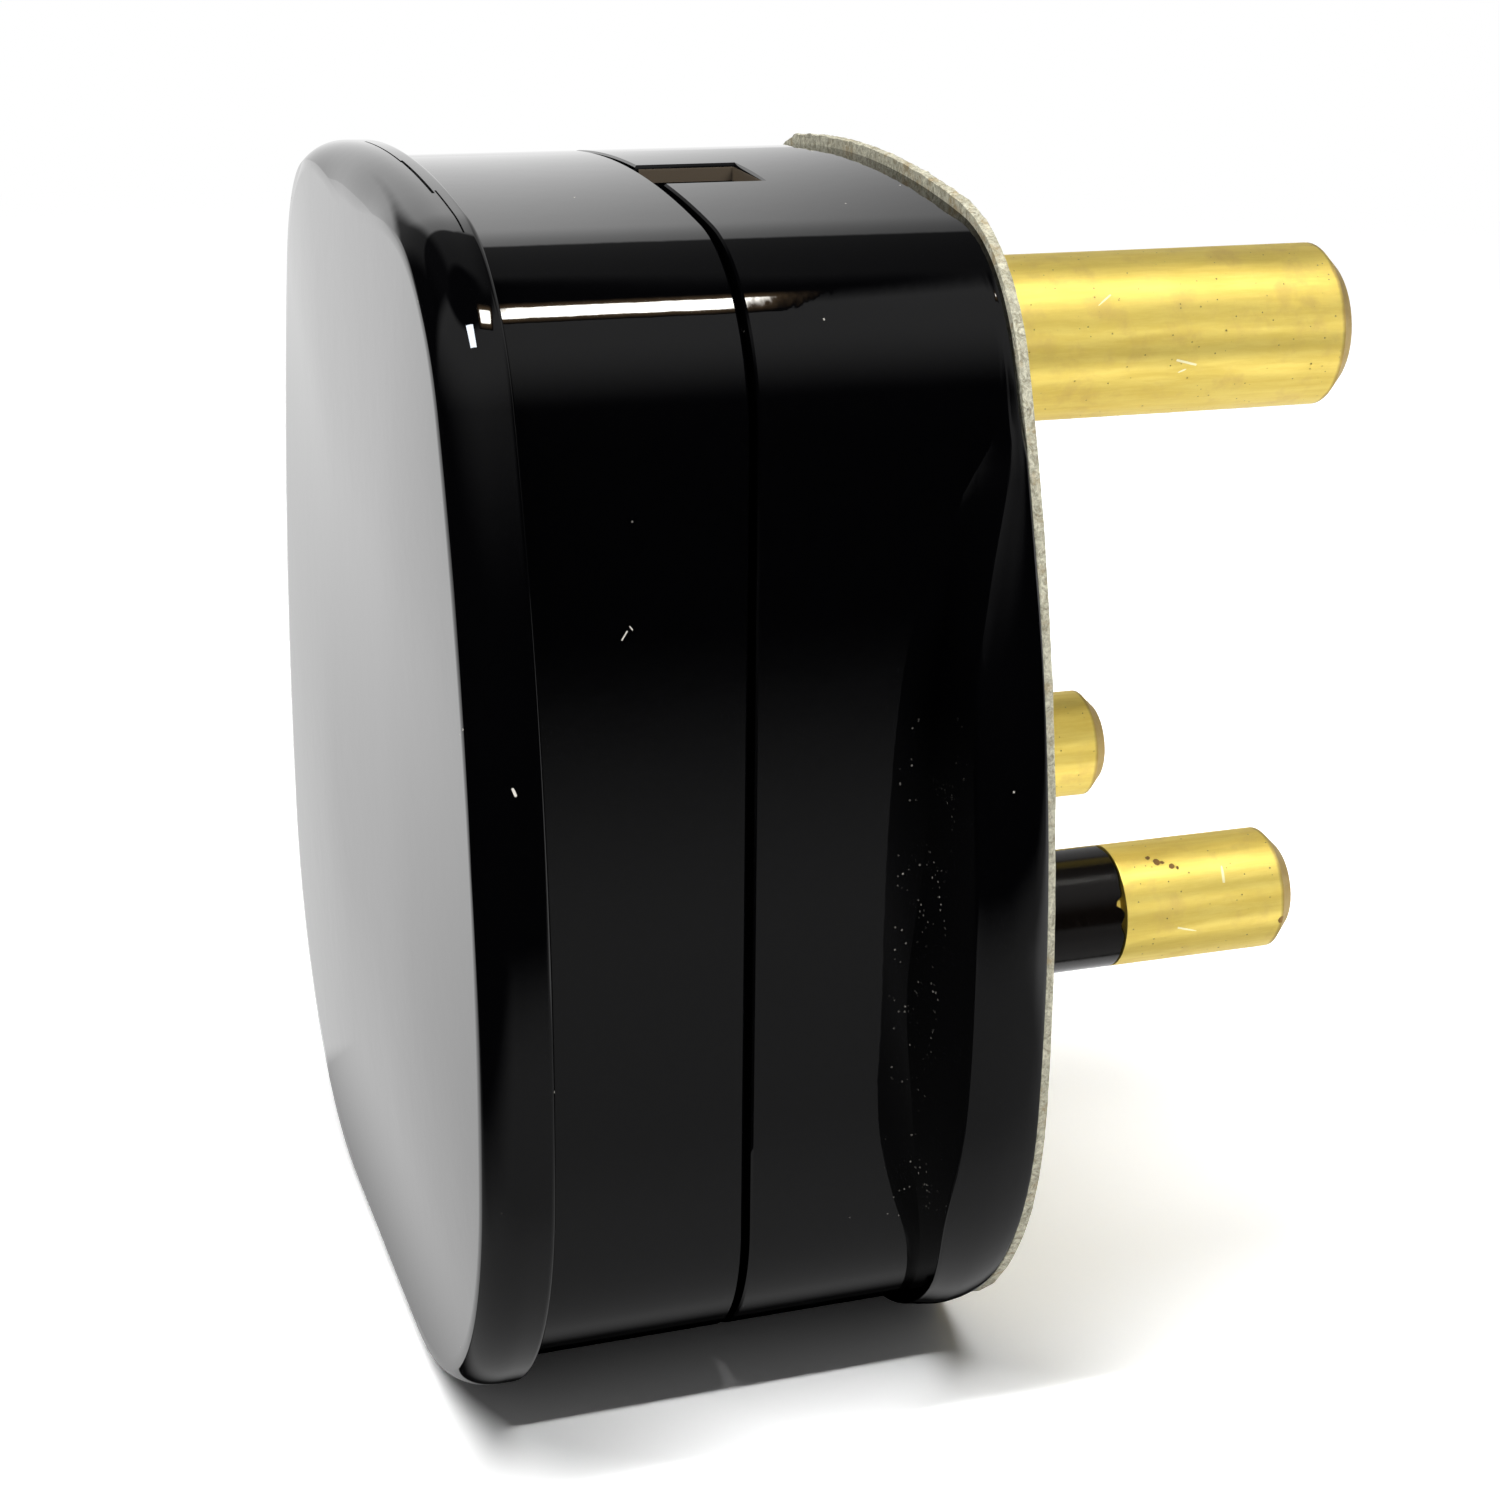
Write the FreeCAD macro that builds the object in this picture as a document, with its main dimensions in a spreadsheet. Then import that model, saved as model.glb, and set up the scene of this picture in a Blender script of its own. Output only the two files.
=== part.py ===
"""Three-pin round plug: two moulded halves, brass pins with their terminals, and the fibre card.

Frame: X runs out along the pins, Y across the plug, Z up. The origin lies on the axis of the earth pin, in
the outer face of the card that the socket meets. All lengths are in millimetres.
"""
import FreeCAD, Part
import math
import os

import Sketcher

SIZES = [
    # pins: the standard spacing and diameters of the 5 A round-pin plug
    ("pin_spacing", 19.05),
    ("earth_offset", 22.23),
    ("earth_pin_diameter", 7.06),
    ("earth_pin_length", 20.62),
    ("line_pin_diameter", 5.08),
    ("line_pin_length", 14.86),
    ("tip_chamfer", 0.65),
    ("neck_relief", 0.2),
    ("sleeve_length", 7.0),
    ("sleeve_wall", 0.65),
    ("sleeve_clearance", 0.02),
    # terminals at the inner ends of the pins
    ("collar_thickness", 1.2),
    ("earth_collar_diameter", 10.0),
    ("earth_pillar_diameter", 7.6),
    ("line_collar_diameter", 7.0),
    ("line_pillar_diameter", 6.0),
    ("pillar_length", 7.5),
    ("wire_hole_diameter", 3.2),
    ("wire_hole_setback", 2.3),
    ("terminal_hole_depth", 4.6),
    ("terminal_shank_diameter", 2.8),
    ("terminal_shank_length", 3.4),
    ("terminal_head_diameter", 4.4),
    ("terminal_head_height", 1.5),
    # straight-sided outline of the two halves, from the earth pin's axis
    ("crown_radius", 72.0),
    ("body_top", 7.65),
    ("body_half_width", 15.8),
    ("body_corner", 6.9),
    ("body_drop", 38.3),
    ("body_bottom_corner", 7.0),
    # pear-shaped outline of the flange, the card and the rear rim
    ("lip_half_width", 20.5),
    ("lip_widest_drop", 22.0),
    ("lip_side_radius", 67.0),
    ("lip_corner", 8.0),
    ("lip_drop", 39.1),
    ("lip_bottom_corner", 14.0),
    # depths along the pins, from the outer face of the card
    ("card_thickness", 0.4),
    ("card_overhang", 0.5),
    ("seam_depth", 10.5),
    ("back_depth", 22.2),
    ("flange_thickness", 3.1),
    ("flange_thin_edge", 0.6),
    ("flange_full_drop", 9.0),
    ("flange_thin_drop", 1.0),
    ("flange_crest_round", 0.45),
    ("rim_thickness", 2.9),
    ("rim_proud", 0.7),
    ("rim_back_round", 2.6),
    ("rim_crest_round", 0.25),
    ("seam_chamfer", 0.25),
    # walls and the spigot that centres the cover in the base
    ("wall", 1.9),
    ("base_floor", 3.6),
    ("back_wall", 2.6),
    ("spigot_height", 1.2),
    ("spigot_wall", 0.8),
    ("spigot_clearance", 0.15),
    # notch in the top edge of the base
    ("notch_length", 4.2),
    ("notch_width", 4.1),
    ("notch_offset", 1.5),
    # cord inlet, half in each moulding
    ("cord_hole_diameter", 7.0),
    # room around pins and screws, and beyond the ends of screws
    ("hole_clearance", 0.12),
    ("card_clearance", 0.2),
    ("hole_spare", 0.8),
    # screw that holds the halves together
    ("screw_drop", 12.5),
    ("screw_boss_diameter", 8.6),
    ("boss_gap", 0.2),
    ("cover_shank_diameter", 3.4),
    ("cover_head_diameter", 6.0),
    ("cover_head_height", 1.9),
    ("cover_head_recess", 2.2),
    ("cover_shank_overrun", 1.6),
    ("nut_flats", 6.0),
    ("nut_thickness", 2.4),
    # bar that clamps the cord
    ("grip_half_spacing", 7.6),
    ("grip_drop", 32.4),
    ("grip_boss_diameter", 4.8),
    ("grip_depth", 12.0),
    ("grip_bar_thickness", 2.2),
    ("grip_bar_width", 5.0),
    ("grip_bar_end", 2.7),
    ("grip_shank_diameter", 2.6),
    ("grip_shank_length", 7.0),
    ("grip_head_diameter", 4.2),
    ("grip_head_height", 1.5),
    # screwdriver slots
    ("slot_width", 0.9),
    ("slot_depth", 0.8),
]

doc = FreeCAD.newDocument("round_pin_plug")
sizes = doc.addObject("Spreadsheet::Sheet", "sizes")
for row, (alias, number) in enumerate(SIZES, start=1):
    sizes.set(f"A{row}", alias.replace("_", " "))
    sizes.set(f"B{row}", str(number))
    sizes.setAlias(f"B{row}", alias)
doc.recompute()

NEAR_ZERO = 1e-6
CUT_MARGIN = "1"
YZ, XZ, XY = "YZ_Plane", "XZ_Plane", "XY_Plane"

# places along the pins that several pieces share
FACE_X = "(-sizes.card_thickness)"
FLOOR_X = "(-sizes.card_thickness - sizes.base_floor)"
CREST_X = "(-sizes.card_thickness - sizes.flange_thickness)"
SEAM_X = "(-sizes.seam_depth)"
BACK_X = "(-sizes.back_depth)"
RIM_X = "(-sizes.back_depth + sizes.rim_thickness)"
BACK_INNER_X = "(-sizes.back_depth + sizes.back_wall)"
BASE_BOSS_X = "(-sizes.seam_depth + sizes.boss_gap)"
COVER_BOSS_X = "(-sizes.seam_depth - sizes.boss_gap)"
COLLAR_X = f"({FLOOR_X} - sizes.collar_thickness)"
PILLAR_X = f"({COLLAR_X} - sizes.pillar_length)"
WIRE_X = f"({COLLAR_X} - sizes.wire_hole_setback)"
GRIP_X = "(-sizes.grip_depth)"
RECESS_X = "(-sizes.card_thickness - sizes.cover_head_recess)"
SHANK_END_X = f"({COVER_BOSS_X} - sizes.nut_thickness - sizes.cover_shank_overrun)"

# places across the pin face
EARTH_YZ = ("0", "0")
LINE_YZ = ("(-sizes.pin_spacing / 2)", "(-sizes.earth_offset)")
NEUTRAL_YZ = ("(sizes.pin_spacing / 2)", "(-sizes.earth_offset)")
SCREW_YZ = ("0", "(-sizes.screw_drop)")
GRIP_NEAR_YZ = ("(-sizes.grip_half_spacing)", "(-sizes.grip_drop)")
GRIP_FAR_YZ = ("(sizes.grip_half_spacing)", "(-sizes.grip_drop)")

CROWN_CENTRE = "(sizes.crown_radius - sizes.body_top)"


def value(expression):
    """The number that an expression of the sheet gives."""
    return float(sizes.evalExpression(expression))


def new_body(label):
    """An empty body that becomes one sub-part."""
    body = doc.addObject("PartDesign::Body", label)
    body.Label = label
    return body


def new_sketch(body, name, plane, offset):
    """A sketch on one of the body's own planes, moved along the plane's normal."""
    sketch = body.newObject("Sketcher::SketchObject", f"{body.Label}_{name}")
    support = next(item for item in body.Origin.OriginFeatures if item.Role == plane)
    sketch.AttachmentSupport = [(support, "")]
    sketch.MapMode = "FlatFace"
    sketch.setExpression("AttachmentOffset.Base.z", offset)
    return sketch


def bind(sketch, constraint, name, expression):
    """Add a dimension to a sketch and tie it to the sheet."""
    index = sketch.addConstraint(constraint)
    sketch.renameConstraint(index, name)
    sketch.setExpression(f"Constraints.{name}", expression)


def locate(sketch, geometry, point, across, up):
    """Hold a point of a sketch at two expressions measured from the sketch's origin."""
    for kind, axis, expression in (("DistanceX", -2, across), ("DistanceY", -1, up)):
        distance = value(expression)
        name = f"{kind}_{geometry}_{point}"
        if abs(distance) < NEAR_ZERO:
            sketch.addConstraint(Sketcher.Constraint("PointOnObject", geometry, point, axis))
        elif distance > 0:
            rule = Sketcher.Constraint(kind, -1, 1, geometry, point, distance)
            bind(sketch, rule, name, expression)
        else:
            rule = Sketcher.Constraint(kind, geometry, point, -1, 1, -distance)
            bind(sketch, rule, name, f"-({expression})")


def polygon(body, name, plane, offset, corners):
    """A sketch of straight edges through corners that are given as expressions."""
    sketch = new_sketch(body, name, plane, offset)
    points = [FreeCAD.Vector(value(across), value(up), 0) for across, up in corners]
    count = len(points)
    for start in range(count):
        sketch.addGeometry(Part.LineSegment(points[start], points[(start + 1) % count]))
    for start in range(count):
        sketch.addConstraint(Sketcher.Constraint("Coincident", start, 2, (start + 1) % count, 1))
    for start, (across, up) in enumerate(corners):
        locate(sketch, start, 1, across, up)
    return sketch


def rectangle(body, name, plane, offset, left, right, low, high):
    """A sketch of one upright rectangle."""
    corners = [(left, low), (right, low), (right, high), (left, high)]
    return polygon(body, name, plane, offset, corners)


def circles(body, name, plane, offset, rounds):
    """A sketch of circles, each given as (across, up, diameter)."""
    sketch = new_sketch(body, name, plane, offset)
    for index, (across, up, diameter) in enumerate(rounds):
        centre = FreeCAD.Vector(value(across), value(up), 0)
        radius = value(diameter) / 2
        sketch.addGeometry(Part.Circle(centre, FreeCAD.Vector(0, 0, 1), radius))
        locate(sketch, index, 3, across, up)
        rule = Sketcher.Constraint("Diameter", index, 2 * radius)
        bind(sketch, rule, f"diameter_{index}", diameter)
    return sketch


def turn(vector):
    """The direction of a vector in the sketch plane, as an angle."""
    return math.atan2(vector.y, vector.x)


def arc(sketch, centre, radius, start, end):
    """Add an arc that runs anticlockwise between two angles."""
    circle = Part.Circle(centre, FreeCAD.Vector(0, 0, 1), radius)
    return sketch.addGeometry(Part.ArcOfCircle(circle, start, end))


def join_smoothly(sketch, count):
    """Make each edge of a closed outline run smoothly into the next."""
    for edge in range(count):
        sketch.addConstraint(Sketcher.Constraint("Tangent", edge, 2, (edge + 1) % count, 1))


def hold_crown_and_bottom(sketch, crown, bottom, radius, drop):
    """Dimensions that both outlines share: the crown at the top and the flat bottom."""
    bind(sketch, Sketcher.Constraint("Radius", crown, value(radius)), "crown", radius)
    locate(sketch, crown, 3, "0", f"-{CROWN_CENTRE}")
    sketch.addConstraint(Sketcher.Constraint("Horizontal", bottom))
    rule = Sketcher.Constraint("DistanceY", bottom, 1, -1, 1, value(drop))
    bind(sketch, rule, "drop", drop)


def body_outline(body, name, offset, inset="0"):
    """The straight-sided outline of the halves, drawn inwards by the inset."""
    sketch = new_sketch(body, name, YZ, offset)
    crown_radius = f"(sizes.crown_radius - ({inset}))"
    half_width = f"(sizes.body_half_width - ({inset}))"
    corner = f"(sizes.body_corner - ({inset}))"
    drop = f"(sizes.body_drop - ({inset}))"
    low_corner = f"(sizes.body_bottom_corner - ({inset}))"
    crown_r, half, corner_r = value(crown_radius), value(half_width), value(corner)
    bottom, low_r = -value(drop), value(low_corner)
    crown_centre = FreeCAD.Vector(0, -value(CROWN_CENTRE), 0)
    across = half - corner_r
    corner_up = crown_centre.y + math.sqrt((crown_r - corner_r) ** 2 - across ** 2)
    corner_right = FreeCAD.Vector(across, corner_up, 0)
    corner_left = FreeCAD.Vector(-across, corner_up, 0)
    low_up = bottom + low_r
    low_across = half - low_r
    quarter = math.pi / 2
    shoulder = turn(corner_right - crown_centre)
    line = Part.LineSegment
    point = FreeCAD.Vector
    bottom_edge = sketch.addGeometry(line(point(-low_across, bottom, 0), point(low_across, bottom, 0)))
    low_right = arc(sketch, point(low_across, low_up, 0), low_r, -quarter, 0)
    side_right = sketch.addGeometry(line(point(half, low_up, 0), point(half, corner_up, 0)))
    top_right = arc(sketch, corner_right, corner_r, 0, shoulder)
    crown = arc(sketch, crown_centre, crown_r, shoulder, math.pi - shoulder)
    top_left = arc(sketch, corner_left, corner_r, math.pi - shoulder, math.pi)
    side_left = sketch.addGeometry(line(point(-half, corner_up, 0), point(-half, low_up, 0)))
    low_left = arc(sketch, point(-low_across, low_up, 0), low_r, math.pi, 3 * quarter)
    join_smoothly(sketch, low_left + 1)
    hold_crown_and_bottom(sketch, crown, bottom_edge, crown_radius, drop)
    bind(sketch, Sketcher.Constraint("Radius", top_right, corner_r), "corner", corner)
    bind(sketch, Sketcher.Constraint("Radius", low_right, low_r), "low_corner", low_corner)
    sketch.addConstraint(Sketcher.Constraint("Equal", top_right, top_left))
    sketch.addConstraint(Sketcher.Constraint("Equal", low_right, low_left))
    for side in (side_right, side_left):
        sketch.addConstraint(Sketcher.Constraint("Vertical", side))
    bind(sketch, Sketcher.Constraint("DistanceX", -1, 1, side_right, 1, half), "right", half_width)
    bind(sketch, Sketcher.Constraint("DistanceX", side_left, 1, -1, 1, half), "left", half_width)
    return sketch


def lip_outline(body, name, offset, rise="0", proud="0"):
    """The pear-shaped outline: its top stands higher by the rise, its sides wider by the proud amount."""
    sketch = new_sketch(body, name, YZ, offset)
    crown_radius = f"(sizes.crown_radius + ({rise}))"
    half_width = f"(sizes.lip_half_width + ({proud}))"
    side_radius = f"(sizes.lip_side_radius + ({proud}))"
    corner = f"(sizes.lip_corner + ({proud}))"
    low_corner = "sizes.lip_bottom_corner"
    drop = "sizes.lip_drop"
    crown_r, side_r, corner_r = value(crown_radius), value(side_radius), value(corner)
    low_r, bottom = value(low_corner), -value(drop)
    crown_centre = FreeCAD.Vector(0, -value(CROWN_CENTRE), 0)
    side_right_centre = FreeCAD.Vector(value(half_width) - side_r, -value("sizes.lip_widest_drop"), 0)
    side_left_centre = FreeCAD.Vector(-side_right_centre.x, side_right_centre.y, 0)
    corner_right = inner_circle(crown_centre, crown_r - corner_r, side_right_centre, side_r - corner_r)
    corner_left = FreeCAD.Vector(-corner_right.x, corner_right.y, 0)
    low_up = bottom + low_r
    reach = math.sqrt((side_r - low_r) ** 2 - (low_up - side_right_centre.y) ** 2)
    low_across = side_right_centre.x + reach
    low_right_centre = FreeCAD.Vector(low_across, low_up, 0)
    low_left_centre = FreeCAD.Vector(-low_across, low_up, 0)
    quarter = math.pi / 2
    half_turn = math.pi
    low_turn = turn(low_right_centre - side_right_centre)
    side_turn = turn(corner_right - side_right_centre)
    shoulder = turn(corner_right - crown_centre)
    start = FreeCAD.Vector(-low_across, bottom, 0)
    end = FreeCAD.Vector(low_across, bottom, 0)
    bottom_edge = sketch.addGeometry(Part.LineSegment(start, end))
    low_right = arc(sketch, low_right_centre, low_r, -quarter, low_turn)
    side_right = arc(sketch, side_right_centre, side_r, low_turn, side_turn)
    top_right = arc(sketch, corner_right, corner_r, side_turn, shoulder)
    crown = arc(sketch, crown_centre, crown_r, shoulder, half_turn - shoulder)
    top_left = arc(sketch, corner_left, corner_r, half_turn - shoulder, half_turn - side_turn)
    side_left = arc(sketch, side_left_centre, side_r, half_turn - side_turn, half_turn - low_turn)
    low_left = arc(sketch, low_left_centre, low_r, half_turn - low_turn, 3 * quarter)
    join_smoothly(sketch, low_left + 1)
    hold_crown_and_bottom(sketch, crown, bottom_edge, crown_radius, drop)
    for right, left, radius, label, expression in (
            (low_right, low_left, low_r, "low_corner", low_corner),
            (side_right, side_left, side_r, "side", side_radius),
            (top_right, top_left, corner_r, "corner", corner)):
        bind(sketch, Sketcher.Constraint("Radius", right, radius), label, expression)
        sketch.addConstraint(Sketcher.Constraint("Equal", right, left))
    centre_across = f"({half_width} - {side_radius})"
    locate(sketch, side_right, 3, centre_across, "-sizes.lip_widest_drop")
    locate(sketch, side_left, 3, f"-{centre_across}", "-sizes.lip_widest_drop")
    return sketch


def inner_circle(first, first_reach, second, second_reach):
    """The upper point at given distances from two centres."""
    between = second - first
    apart = between.Length
    along = (first_reach ** 2 - second_reach ** 2 + apart ** 2) / (2 * apart)
    aside = math.sqrt(first_reach ** 2 - along ** 2)
    direction = between * (1 / apart)
    normal = FreeCAD.Vector(direction.y, -direction.x, 0)
    candidates = [first + direction * along + normal * side * aside for side in (1, -1)]
    return max(candidates, key=lambda candidate: candidate.x)


def feature(body, kind, name, sketch, length, backwards=False):
    """A pad or pocket of a sketch by a length; plain pads run along +X, +Y or +Z of their plane."""
    made = body.newObject(f"PartDesign::{kind}", f"{body.Label}_{name}")
    made.Profile = sketch
    made.Type = "Length"
    made.setExpression("Length", length)
    made.Reversed = backwards
    doc.recompute()
    return made


def pad(body, name, sketch, length, backwards=False):
    """Material added along the sketch's normal, or against it."""
    return feature(body, "Pad", name, sketch, length, backwards)


def pocket(body, name, sketch, length, backwards=False):
    """Material taken away along the sketch's normal; backwards takes it against the normal."""
    before = body.Shape.Volume
    made = feature(body, "Pocket", name, sketch, length, not backwards)
    if body.Shape.Volume > before - NEAR_ZERO:
        raise RuntimeError(f"{made.Name} takes nothing away")
    return made


def drill(body, name, sketch):
    """A hole cut right through the body, both ways from the sketch."""
    before = body.Shape.Volume
    made = body.newObject("PartDesign::Pocket", f"{body.Label}_{name}")
    made.Profile = sketch
    made.SideType = "Symmetric"
    made.Type = "ThroughAll"
    doc.recompute()
    if body.Shape.Volume > before - NEAR_ZERO:
        raise RuntimeError(f"{made.Name} takes nothing away")
    return made


def revolve(body, name, corners):
    """A turned solid: the corners give (along X, radius) of its half section."""
    sketch = polygon(body, name, XZ, "0", corners)
    made = body.newObject("PartDesign::Revolution", f"{body.Label}_{name}_turned")
    made.Profile = sketch
    made.ReferenceAxis = (sketch, ["H_Axis"])
    made.Angle = 360
    doc.recompute()
    return made


def edges_at(shape, position):
    """Names of the edges that lie wholly in the plane X = position."""
    tolerance = 1e-4
    names = []
    for number, edge in enumerate(shape.Edges, start=1):
        box = edge.BoundBox
        if abs(box.XMin - position) < tolerance and abs(box.XMax - position) < tolerance:
            names.append(f"Edge{number}")
    return names


def dress(body, kind, name, base, edges, dimension, expression):
    """A fillet or chamfer on named edges of the last feature."""
    made = body.newObject(f"PartDesign::{kind}", f"{body.Label}_{name}")
    made.Base = (base, edges)
    made.setExpression(dimension, expression)
    doc.recompute()
    return made


def place(body, spot):
    """Move a piece that is modelled about the X axis to its place across the pin face."""
    across, up = spot
    body.setExpression("Placement.Base.y", across)
    body.setExpression("Placement.Base.z", up)


def with_room(diameter, clearance="sizes.hole_clearance"):
    """The diameter of a hole that takes a round of the given diameter."""
    return f"({diameter} + 2 * {clearance})"


def cut_cord_inlet(body):
    """Half of the round cord inlet, through the bottom wall at the seam."""
    start = f"(-sizes.body_drop - {CUT_MARGIN})"
    reach = f"({CUT_MARGIN} + sizes.wall + sizes.spigot_clearance + sizes.spigot_wall + {CUT_MARGIN})"
    hole = circles(body, "inlet", XY, start, [(SEAM_X, "0", "sizes.cord_hole_diameter")])
    pocket(body, "inlet_cut", hole, reach)


def build_base():
    """Pin-side moulding: flange, straight walls, floor with the pin holes, and the bosses."""
    body = new_body("base")
    flange = lip_outline(body, "flange_outline", CREST_X)
    pad(body, "flange", flange, "sizes.flange_thickness")
    high = f"(sizes.body_top + {CUT_MARGIN})"
    thin_x = f"({FACE_X} - sizes.flange_thin_edge)"
    wedge_corners = [(CREST_X, "-sizes.flange_full_drop"), (thin_x, "-sizes.flange_thin_drop"),
                     (thin_x, high), (CREST_X, high)]
    wedge = drill(body, "thinning", polygon(body, "thinning_wedge", XZ, "0", wedge_corners))
    crest = edges_at(wedge.Shape, value(CREST_X))
    rear_turn = [name for name in crest if wedge.Shape.getElement(name).Curve.TypeId != "Part::GeomLine"]
    dress(body, "Fillet", "crest", wedge, rear_turn, "Radius", "sizes.flange_crest_round")
    walls = body_outline(body, "wall_outline", SEAM_X)
    walls_pad = pad(body, "walls", walls, f"({FACE_X} - {SEAM_X})")
    seam = edges_at(walls_pad.Shape, value(SEAM_X))
    dress(body, "Chamfer", "seam_edge", walls_pad, seam, "Size", "sizes.seam_chamfer")
    cavity = body_outline(body, "cavity_outline", SEAM_X, "sizes.wall")
    pocket(body, "cavity", cavity, f"({FLOOR_X} - {SEAM_X})")
    screw_boss = circles(body, "screw_boss_round", YZ, FLOOR_X, [SCREW_YZ + ("sizes.screw_boss_diameter",)])
    pad(body, "screw_boss", screw_boss, f"({FLOOR_X} - {BASE_BOSS_X})", backwards=True)
    grip_rounds = [spot + ("sizes.grip_boss_diameter",) for spot in (GRIP_NEAR_YZ, GRIP_FAR_YZ)]
    grip_bosses = circles(body, "grip_boss_rounds", YZ, FLOOR_X, grip_rounds)
    pad(body, "grip_bosses", grip_bosses, f"({FLOOR_X} - {GRIP_X})", backwards=True)
    through = [
        EARTH_YZ + (with_room("sizes.earth_pin_diameter"),),
        LINE_YZ + (with_room("sizes.line_pin_diameter"),),
        NEUTRAL_YZ + (with_room("sizes.line_pin_diameter"),),
        SCREW_YZ + (with_room("sizes.cover_shank_diameter"),),
    ]
    drill(body, "pin_holes", circles(body, "pin_hole_rounds", YZ, FACE_X, through))
    recess = circles(body, "recess_round", YZ, FACE_X, [SCREW_YZ + (with_room("sizes.cover_head_diameter"),)])
    pocket(body, "head_recess", recess, "sizes.cover_head_recess", backwards=True)
    pilots = [spot + ("sizes.grip_shank_diameter",) for spot in (GRIP_NEAR_YZ, GRIP_FAR_YZ)]
    pilot_depth = "(sizes.grip_shank_length - sizes.grip_bar_thickness + sizes.hole_spare)"
    pocket(body, "grip_pilots", circles(body, "grip_pilot_rounds", YZ, GRIP_X, pilots), pilot_depth)
    cut_cord_inlet(body)
    near = "(-sizes.notch_offset - sizes.notch_width / 2)"
    far = "(-sizes.notch_offset + sizes.notch_width / 2)"
    start = f"({SEAM_X} - {CUT_MARGIN})"
    end = f"({SEAM_X} + sizes.notch_length)"
    notch = rectangle(body, "notch_outline", XY, high, start, end, near, far)
    pocket(body, "notch", notch, f"(2 * {CUT_MARGIN} + sizes.wall)", backwards=True)
    return body


def build_cover():
    """Rear moulding: rounded rim, straight walls, spigot, and the boss that holds the nut."""
    body = new_body("cover")
    rim_outline = lip_outline(body, "rim_outline", BACK_X, "sizes.rim_proud", "sizes.rim_proud")
    rim = pad(body, "rim", rim_outline, "sizes.rim_thickness")
    back = edges_at(rim.Shape, value(BACK_X))
    rounded = dress(body, "Fillet", "rim_back", rim, back, "Radius", "sizes.rim_back_round")
    crest = edges_at(rounded.Shape, value(RIM_X))
    dress(body, "Fillet", "rim_crest", rounded, crest, "Radius", "sizes.rim_crest_round")
    walls = body_outline(body, "wall_outline", BACK_INNER_X)
    walls_pad = pad(body, "walls", walls, f"({SEAM_X} - {BACK_INNER_X})")
    seam = edges_at(walls_pad.Shape, value(SEAM_X))
    dress(body, "Chamfer", "seam_edge", walls_pad, seam, "Size", "sizes.seam_chamfer")
    spigot_inset = "(sizes.wall + sizes.spigot_clearance)"
    spigot = body_outline(body, "spigot_outline", SEAM_X, spigot_inset)
    pad(body, "spigot", spigot, "sizes.spigot_height")
    hollow = body_outline(body, "hollow_outline", BACK_INNER_X, f"({spigot_inset} + sizes.spigot_wall)")
    hollow_depth = f"({SEAM_X} - {BACK_INNER_X} + sizes.spigot_height + {CUT_MARGIN})"
    pocket(body, "hollow", hollow, hollow_depth)
    boss = circles(body, "screw_boss_round", YZ, BACK_INNER_X, [SCREW_YZ + ("sizes.screw_boss_diameter",)])
    pad(body, "screw_boss", boss, f"({COVER_BOSS_X} - {BACK_INNER_X})")
    bore = [SCREW_YZ + (with_room("sizes.cover_shank_diameter"),)]
    bore_sketch = circles(body, "screw_bore_round", YZ, COVER_BOSS_X, bore)
    bore_depth = f"({COVER_BOSS_X} - {SHANK_END_X} + sizes.hole_spare)"
    pocket(body, "screw_bore", bore_sketch, bore_depth, backwards=True)
    nut_sketch = polygon(body, "nut_outline", YZ, COVER_BOSS_X, hexagon(with_room("sizes.nut_flats")))
    pocket(body, "nut_pocket", nut_sketch, "sizes.nut_thickness", backwards=True)
    cut_cord_inlet(body)
    return body


def hexagon(flats, spot=SCREW_YZ):
    """Corners of a six-sided nut about a spot of the pin face, with two flats upright."""
    across, up = spot
    half = f"({flats} / 2)"
    short = f"({half} * tan(30 deg))"
    long = f"({half} / cos(30 deg))"
    offsets = [("0", f"-{long}"), (half, f"-{short}"), (half, short),
               ("0", long), (f"-{half}", short), (f"-{half}", f"-{short}")]
    return [(f"({across} + {aside})", f"({up} + {raised})") for aside, raised in offsets]


def build_card():
    """Thin fibre card over the pin face, with holes for the pins and the screw."""
    body = new_body("pin_face_card")
    outline = lip_outline(body, "outline", FACE_X, "sizes.card_overhang")
    pad(body, "sheet", outline, "sizes.card_thickness")
    clearance = "sizes.card_clearance"
    holes = [
        EARTH_YZ + (with_room("sizes.earth_pin_diameter", clearance),),
        LINE_YZ + (with_room("sizes.line_pin_diameter", clearance),),
        NEUTRAL_YZ + (with_room("sizes.line_pin_diameter", clearance),),
        SCREW_YZ + (with_room("sizes.cover_head_diameter", clearance),),
    ]
    drill(body, "holes", circles(body, "hole_rounds", YZ, FACE_X, holes))
    return body


def finish_terminal(body, wire_plane):
    """Holes of a terminal pillar: one across for the wire, one along the axis for its screw."""
    wire = circles(body, "wire_round", wire_plane, "0", [(WIRE_X, "0", "sizes.wire_hole_diameter")])
    drill(body, "wire_hole", wire)
    tapped_round = ("0", "0", with_room("sizes.terminal_shank_diameter"))
    tapped = circles(body, "screw_round", YZ, PILLAR_X, [tapped_round])
    pocket(body, "screw_hole", tapped, "sizes.terminal_hole_depth")


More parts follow.
